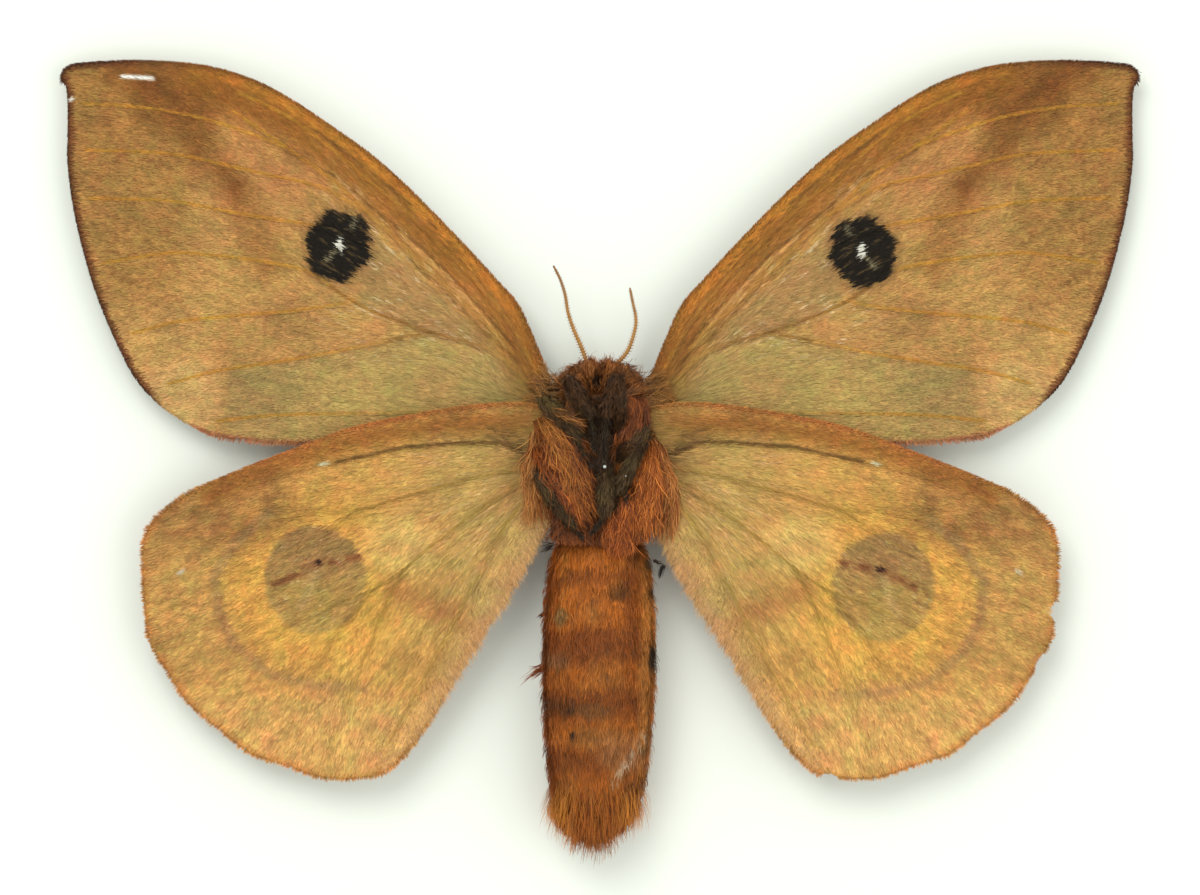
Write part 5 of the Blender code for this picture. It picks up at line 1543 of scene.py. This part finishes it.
def build_abdomen_tuft(skin):
    """Longer hair that stands out round the abdomen's end, in points of unequal length."""
    draw = np.random.default_rng(SEED + 6)
    roots, out = coat_roots("abdomen_tuft", skin, draw, lambda p: p[:, 1] < TUFT_START)
    picked = draw.uniform(0, 1, len(roots)) < 0.25 + 0.75 * ramp(roots[:, 1], -34.0, -37.0)
    roots, out = roots[picked], out[picked]
    middle = (roots[:, 0] - abdomen_middle(roots[:, 1])) / 4
    ways = np.column_stack([0.1 * middle, np.full(len(roots), -1.0), 0.1 * np.sign(roots[:, 2] - 5)])
    ways = ways + draw.normal(0, 0.22, roots.shape)
    ragged = noise(roots[:, :1] @ [[1, 0]], 0.6, 85)
    end = TUFT_END - 2.0 * ramp(np.abs(middle), 0.3, 0.9) + 0.9 * ragged
    room = end + roots[:, 1] + draw.normal(0, 0.6, len(roots))
    room += np.where(draw.uniform(0, 1, len(roots)) < 0.16, 2.3, 0.0)
    lengths = np.clip(np.minimum(draw.uniform(1.6, 4.4, len(roots)), room), 0.5, None)
    rise = draw.uniform(0.08, 0.26, len(roots))
    colours = varied(abdomen_colours(roots + np.array([0, -1.5, 0])), draw, 0.14)
    golden = ramp(np.abs(middle), 0.35, 0.75) + 0.6 * (draw.uniform(0, 1, len(roots)) < 0.4)
    colours = mix(colours, TUFT_GOLD, 0.75 * golden)
    hair_coat("abdomen_tuft", roots, out, ways, lengths, rise, colours, draw, hold=0.2)


def build_strays():
    """Loose tufts and bits that stick out from the abdomen's sides."""
    draw = np.random.default_rng(SEED + 7)
    steps = np.linspace(0, 1, 5)[:, None]
    paths, colours = [], []
    for start, end, count, spread, colour in STRAYS:
        start, end = np.array(start), np.array(end)
        for _ in range(count):
            bend = draw.normal(0, 0.12, 3)
            tip = end + draw.normal(0, spread, 3)
            root = start + draw.normal(0, 0.12, 3)
            paths.append(root + (tip - start) * steps + bend * steps * (1 - steps) * 2)
            colours.append(np.array(colour) * draw.normal(1, 0.15))
    paths, colours = np.array(paths), np.array(colours, float)
    coat = hair_strips("abdomen_strays", paths, plain(UP, paths), colours, draw, 0.09)
    place_piece(coat, "abdomen_hair", LOOKS["hair"])


def head_keep(points):
    """Where the head's coat grows: ahead of the neck, off the legs and eyes."""
    away = leg_nearness(points)[0]
    return (points[:, 1] > 6.5) & (away > 0.2) & (eye_distance(points) > EYE_RADIUS + 0.05)


def build_head_coat(skin):
    """Rough fur that stands out round the head and over the eyes' rims."""
    draw = np.random.default_rng(SEED + 3)
    roots, out = coat_roots("head_coat", skin, draw, head_keep)
    side = np.sign(roots[:, 0])
    outer = ramp(np.abs(roots[:, 0]), 1.6, 3.0)
    ways = np.column_stack([(0.2 + 0.9 * outer) * side, 1.0 - 0.5 * outer, np.full(len(roots), 0.1)])
    beside = smooth_step((EYE_RADIUS + 1.2 - eye_distance(roots)) / 0.9) * (roots[:, 2] > 4.5)
    eye = np.array(EYE_PLACE) * np.column_stack([side, np.ones((len(roots), 2))])
    over = unit(eye + UP * 1.2 - roots)
    ways = ways * (1 - 0.75 * beside[:, None]) + over * (0.75 * beside)[:, None]
    ways = ways + draw.normal(0, 0.33, roots.shape)
    lengths = draw.uniform(0.6, 1.2, len(roots)) * (1 + 0.7 * outer + 0.6 * beside)
    lengths *= np.where(draw.uniform(0, 1, len(roots)) < 0.1, 1.5, 1.0)
    rise = draw.uniform(0.4, 0.9, len(roots)) * (1 - 0.4 * outer)
    colours = varied(head_colours(roots + out * 0.3), draw, 0.18)
    hair_coat("head_coat", roots, out, ways, lengths, rise, colours, draw)


def build_leg_coat(skin):
    """Short hair that lies along each leg."""
    draw = np.random.default_rng(SEED + 4)
    roots, out = coat_roots("leg_coat", skin, draw, lambda p: leg_nearness(p)[0] < 0.12)
    _, ways, part = leg_nearness(roots)
    ways = ways + draw.normal(0, 0.25, roots.shape)
    lengths = draw.uniform(0.6, 1.25, len(roots)) * np.where(part == 3, 0.8, 1.0)
    rise = draw.uniform(0.25, 0.55, len(roots))
    colours = varied(leg_colours(roots, part), draw, 0.18)
    hair_coat("leg_coat", roots, out, ways, lengths, rise, colours, draw)


# Eyes, feelers, claws and glossy drops.

def build_eye(name, side):
    """A compound eye: a fine globe with its facets in the material."""
    place = np.array(EYE_PLACE) * np.array([side, 1, 1])
    points, triangles = ellipsoid(place, (EYE_RADIUS - 0.03, EYE_RADIUS, EYE_RADIUS))
    brown = 0.5 * smooth_step(noise(points - place, 0.5, 75))
    obj = mesh_object(name, points, triangles, mix(plain(EYE_BLACK, points), EYE_BROWN, brown))
    round_off = obj.modifiers.new("round", "SUBSURF")
    round_off.levels = round_off.render_levels = 1
    return obj


def build_antenna(name, side_name, draw):
    """A ringed feeler with a pair of short teeth on each ring."""
    path = evenly(spline(ANTENNAS[side_name], 10), 0.06)
    share = np.linspace(0, 1, len(path))
    ring = np.cos(np.arange(len(path)) * 2 * math.pi / ANTENNA_RING_STEPS)
    radii = (0.21 - 0.1 * share) * (1 + 0.14 * ring)
    parts = [skin_over(tube_rings(path, radii, 12))]
    ways = unit(np.gradient(path, axis=0))
    steps = np.linspace(0, 1, 4)[:, None]
    for k in range(12, len(path) - 6, ANTENNA_RING_STEPS):
        across = unit(np.cross(ways[k], UP))
        for turn in (1, -1):
            reach = 0.34 * (1 - 0.6 * share[k]) * draw.uniform(0.85, 1.1)
            tip = path[k] + (across * turn * 0.9 + ways[k] * 0.5 + UP * 0.1) * (reach + radii[k])
            tooth = path[k] * (1 - steps) + tip * steps
            parts.append(skin_over(tube_rings(tooth, np.array([0.07, 0.055, 0.04, 0.015]), 6)))
    points, triangles = joined(parts)
    colours = blend(plain(HORN, points), {
        "mottling": (HORN_BROWN, 0.5 * smooth_step(noise(points, 0.35, 76))),
        "tip": (HORN_DARK, 0.5 * ramp(points[:, 1], 14, 19)),
    })
    return mesh_object(name, points, triangles, colours)


def build_claws():
    """Two small hooked claws at the end of each leg."""
    parts = []
    for leg in LEGS.values():
        path = leg_path(leg, "tarsus")
        way = unit(path[-1] - path[-3])
        across = unit(np.cross(way, UP))
        for turn in (1, -1):
            bend = [path[-1] + way * reach + across * turn * out - UP * drop for reach, out, drop in CLAW]
            parts.append(skin_over(tube_rings(spline(bend, 4), np.linspace(0.07, 0.015, 13), 8)))
    points, triangles = joined(parts)
    return mesh_object("claws", points, triangles, plain(CLAW_BROWN, points))


def build_glints():
    """Two tiny glossy drops that shine between the legs."""
    points, triangles = joined([ellipsoid(place, (size, size, size)) for place, size in GLINTS])
    return mesh_object("breast_glints", points, triangles, plain(GLINT_GREY, points))


# Materials.

def material(name):
    """A new material, its node tree and its shader."""
    look = bpy.data.materials.new(name)
    look.use_nodes = True
    return look, look.node_tree, look.node_tree.nodes["Principled BSDF"]


def texture_node(tree, kind, scale, detail=None):
    """A texture laid out by the object's own coordinates."""
    place = tree.nodes.new("ShaderNodeTexCoord")
    texture = tree.nodes.new(kind)
    texture.inputs["Scale"].default_value = scale
    if detail is not None:
        texture.inputs["Detail"].default_value = detail
    tree.links.new(place.outputs["Object"], texture.inputs["Vector"])
    return texture


def add_bump(tree, shader, height, strength, depth, invert=False):
    """Raises the surface by a texture's values, as deep as this in millimetres."""
    raised = tree.nodes.new("ShaderNodeBump")
    raised.invert = invert
    raised.inputs["Strength"].default_value = strength
    raised.inputs["Distance"].default_value = depth * MM
    tree.links.new(height, raised.inputs["Height"])
    tree.links.new(raised.outputs["Normal"], shader.inputs["Normal"])


def painted_colour(tree):
    """The output of the painted colours."""
    colour = tree.nodes.new("ShaderNodeAttribute")
    colour.attribute_name = "Col"
    return colour.outputs["Color"]


def spread_node(tree, value, low, high):
    """A value from 0 to 1, spread from low to high."""
    spread = tree.nodes.new("ShaderNodeMapRange")
    spread.inputs["To Min"].default_value = low
    spread.inputs["To Max"].default_value = high
    tree.links.new(value, spread.inputs["Value"])
    return spread.outputs["Result"]


def painted_look(name, roughness, sheen, specular, grain, bump, coat=0.0):
    """A finish from the painted colours, with fine grain in its colour, roughness and bump."""
    look, tree, shader = material(name)
    fine = texture_node(tree, "ShaderNodeTexNoise", grain, 4.0).outputs["Fac"]
    vary = tree.nodes.new("ShaderNodeMix")
    vary.data_type = "RGBA"
    vary.blend_type = "MULTIPLY"
    vary.inputs["Factor"].default_value = 1.0
    tree.links.new(painted_colour(tree), vary.inputs["A"])
    tree.links.new(spread_node(tree, fine, 0.8, 1.2), vary.inputs["B"])
    tree.links.new(vary.outputs["Result"], shader.inputs["Base Color"])
    tree.links.new(spread_node(tree, fine, roughness - 0.08, roughness + 0.08), shader.inputs["Roughness"])
    add_bump(tree, shader, fine, bump, 0.05)
    shader.inputs["Sheen Weight"].default_value = sheen
    shader.inputs["Sheen Roughness"].default_value = 0.4
    shader.inputs["Specular IOR Level"].default_value = specular
    shader.inputs["Coat Weight"].default_value = coat
    return look


def eye_look():
    """Glossy dark facets: small cells raised over the globe."""
    look, tree, shader = material("eye_facets")
    cells = texture_node(tree, "ShaderNodeTexVoronoi", 9000.0)
    add_bump(tree, shader, cells.outputs["Distance"], 0.5, 0.03, invert=True)
    tree.links.new(painted_colour(tree), shader.inputs["Base Color"])
    shader.inputs["Roughness"].default_value = 0.22
    shader.inputs["Coat Weight"].default_value = 0.6
    return look


def paper_look():
    """Pale matt paper, a little rough."""
    look, tree, shader = material("paper")
    fine = texture_node(tree, "ShaderNodeTexNoise", 900.0, 6.0)
    add_bump(tree, shader, fine.outputs["Fac"], 0.15, 0.05)
    shader.inputs["Base Color"].default_value = PAPER
    shader.inputs["Roughness"].default_value = 0.9
    shader.inputs["Specular IOR Level"].default_value = 0.1
    return look


# Floor, light and camera.

def build_floor():
    half = FLOOR_SIZE / 2
    mesh = bpy.data.meshes.new("floor")
    corners = [(-half, -half, 0), (half, -half, 0), (half, half, 0), (-half, half, 0)]
    mesh.from_pydata(corners, [], [(0, 1, 2, 3)])
    mesh.materials.append(paper_look())
    floor = add_object("floor", mesh)
    floor.location.z = -0.02 * MM


def area_light(name, place, size, power):
    """A soft square lamp, in metres, that shines at the middle of the floor."""
    data = bpy.data.lights.new(name, "AREA")
    data.shape = "SQUARE"
    data.size = size
    data.energy = power
    lamp = add_object(name, data)
    lamp.location = place
    lamp.rotation_euler = (-Vector(place)).to_track_quat("-Z", "Y").to_euler()


def build_light():
    world = bpy.data.worlds.new("studio")
    world.use_nodes = True
    shade = world.node_tree.nodes["Background"]
    shade.inputs["Color"].default_value = WORLD_COLOUR
    shade.inputs["Strength"].default_value = WORLD_LIGHT
    bpy.context.scene.world = world
    bpy.context.scene.view_settings.view_transform = "Standard"
    area_light("key", KEY_PLACE, 0.5, KEY_POWER)
    area_light("fill", FILL_PLACE, 0.6, FILL_POWER)


def build_camera():
    data = bpy.data.cameras.new("camera")
    data.sensor_width = SENSOR_WIDTH
    data.lens = SENSOR_WIDTH * (CAMERA_HEIGHT - FOCUS_HEIGHT) / PHOTO_WIDTH
    data.clip_start = 0.01
    camera = add_object("camera", data)
    camera.location = (PHOTO_CENTRE[0] * MM, PHOTO_CENTRE[1] * MM, CAMERA_HEIGHT * MM)
    bpy.context.scene.camera = camera


# The whole model.

def build_wing(kind, side_name, number):
    """A wing's membrane, its scales on both faces, its fringe and a hindwing's long inner hair."""
    side = SIDES[side_name]
    name, slot, seed = f"{kind}wing_{side_name}", f"{kind}wing_scales", SEED + 20 * number
    inset = INNER_INSET if kind == "hind" else 0.0
    rim = sheet_rim(WINGS[kind][0], inset, NOTCHES.get((kind, side), ()))
    place_piece(wing_sheet(f"{name}_skin", side, kind, rim), slot, LOOKS["scales"], name)
    for face, word in ((1, "under"), (-1, "top")):
        coat = wing_coat(f"{name}_scales_{word}", side, kind, face, seed + face)
        place_piece(coat, slot, LOOKS["scales"])
    place_piece(fringe(f"{name}_fringe", side, kind, seed + 7), slot, LOOKS["scales"])
    if kind == "hind":
        place_piece(inner_edge_hair(f"{name}_inner_hair", side, seed + 9), slot, LOOKS["scales"])


def build_body():
    """The body's skin and all its coats of hair."""
    mesh = build_body_skin()
    skin = mesh_arrays(mesh)
    paint(mesh, body_colours(skin[0]))
    place_piece(add_object("body_skin", mesh), "thorax_hair", LOOKS["skin"],
                "head", "thorax", "abdomen", "palp_left", "palp_right", *LEGS)
    build_thorax_coat(skin)
    build_streams()
    build_abdomen_coat("abdomen_coat_under", skin, lambda z: z > ABDOMEN_SPLIT)
    build_abdomen_coat("abdomen_coat_top", skin, lambda z: z <= ABDOMEN_SPLIT)
    build_abdomen_tuft(skin)
    build_strays()
    build_head_coat(skin)
    build_leg_coat(skin)


def build_all():
    draw = np.random.default_rng(SEED)
    for number, (kind, side_name) in enumerate((k, s) for k in WINGS for s in SIDES):
        build_wing(kind, side_name, number)
    build_body()
    for side_name, side in SIDES.items():
        eye = build_eye(f"eye_{side_name}_globe", side)
        place_piece(eye, "eye", LOOKS["eye"], f"eye_{side_name}")
        antenna = build_antenna(f"antenna_{side_name}_rings", side_name, draw)
        place_piece(antenna, "antenna", LOOKS["horn"], f"antenna_{side_name}")
    place_piece(build_claws(), "leg_hair", LOOKS["horn"])
    place_piece(build_glints(), "eye", LOOKS["horn"])
    build_floor()
    build_light()
    build_camera()


# Each kind of wing: its outline, its veins, and the colours of its underside and upper side.
WINGS = {
    "fore": (FOREWING_OUTLINE, FOREWING_VEINS, forewing_under, forewing_top),
    "hind": (HINDWING_OUTLINE, HINDWING_VEINS, hindwing_under, hindwing_top),
}
VEIN_LINES = {kind: vein_lines(wing[1]) for kind, wing in WINGS.items()}
LIE_LINES = {kind: vein_lines(wing[1], 4.0) for kind, wing in WINGS.items()}
RIM_LINES = {kind: closed_line(spline(wing[0], 2, closed=True)) for kind, wing in WINGS.items()}
LOOKS = {
    "scales": painted_look("wing_scales", 0.65, 0.04, 0.16, 6000.0, 0.3),
    "hair": painted_look("body_hair", 0.5, 0.03, 0.2, 4000.0, 0.2),
    "skin": painted_look("body_cuticle", 0.6, 0.03, 0.15, 3000.0, 0.6),
    "horn": painted_look("horn", 0.35, 0.0, 0.5, 3000.0, 0.3, 0.2),
    "eye": eye_look(),
}

build_all()
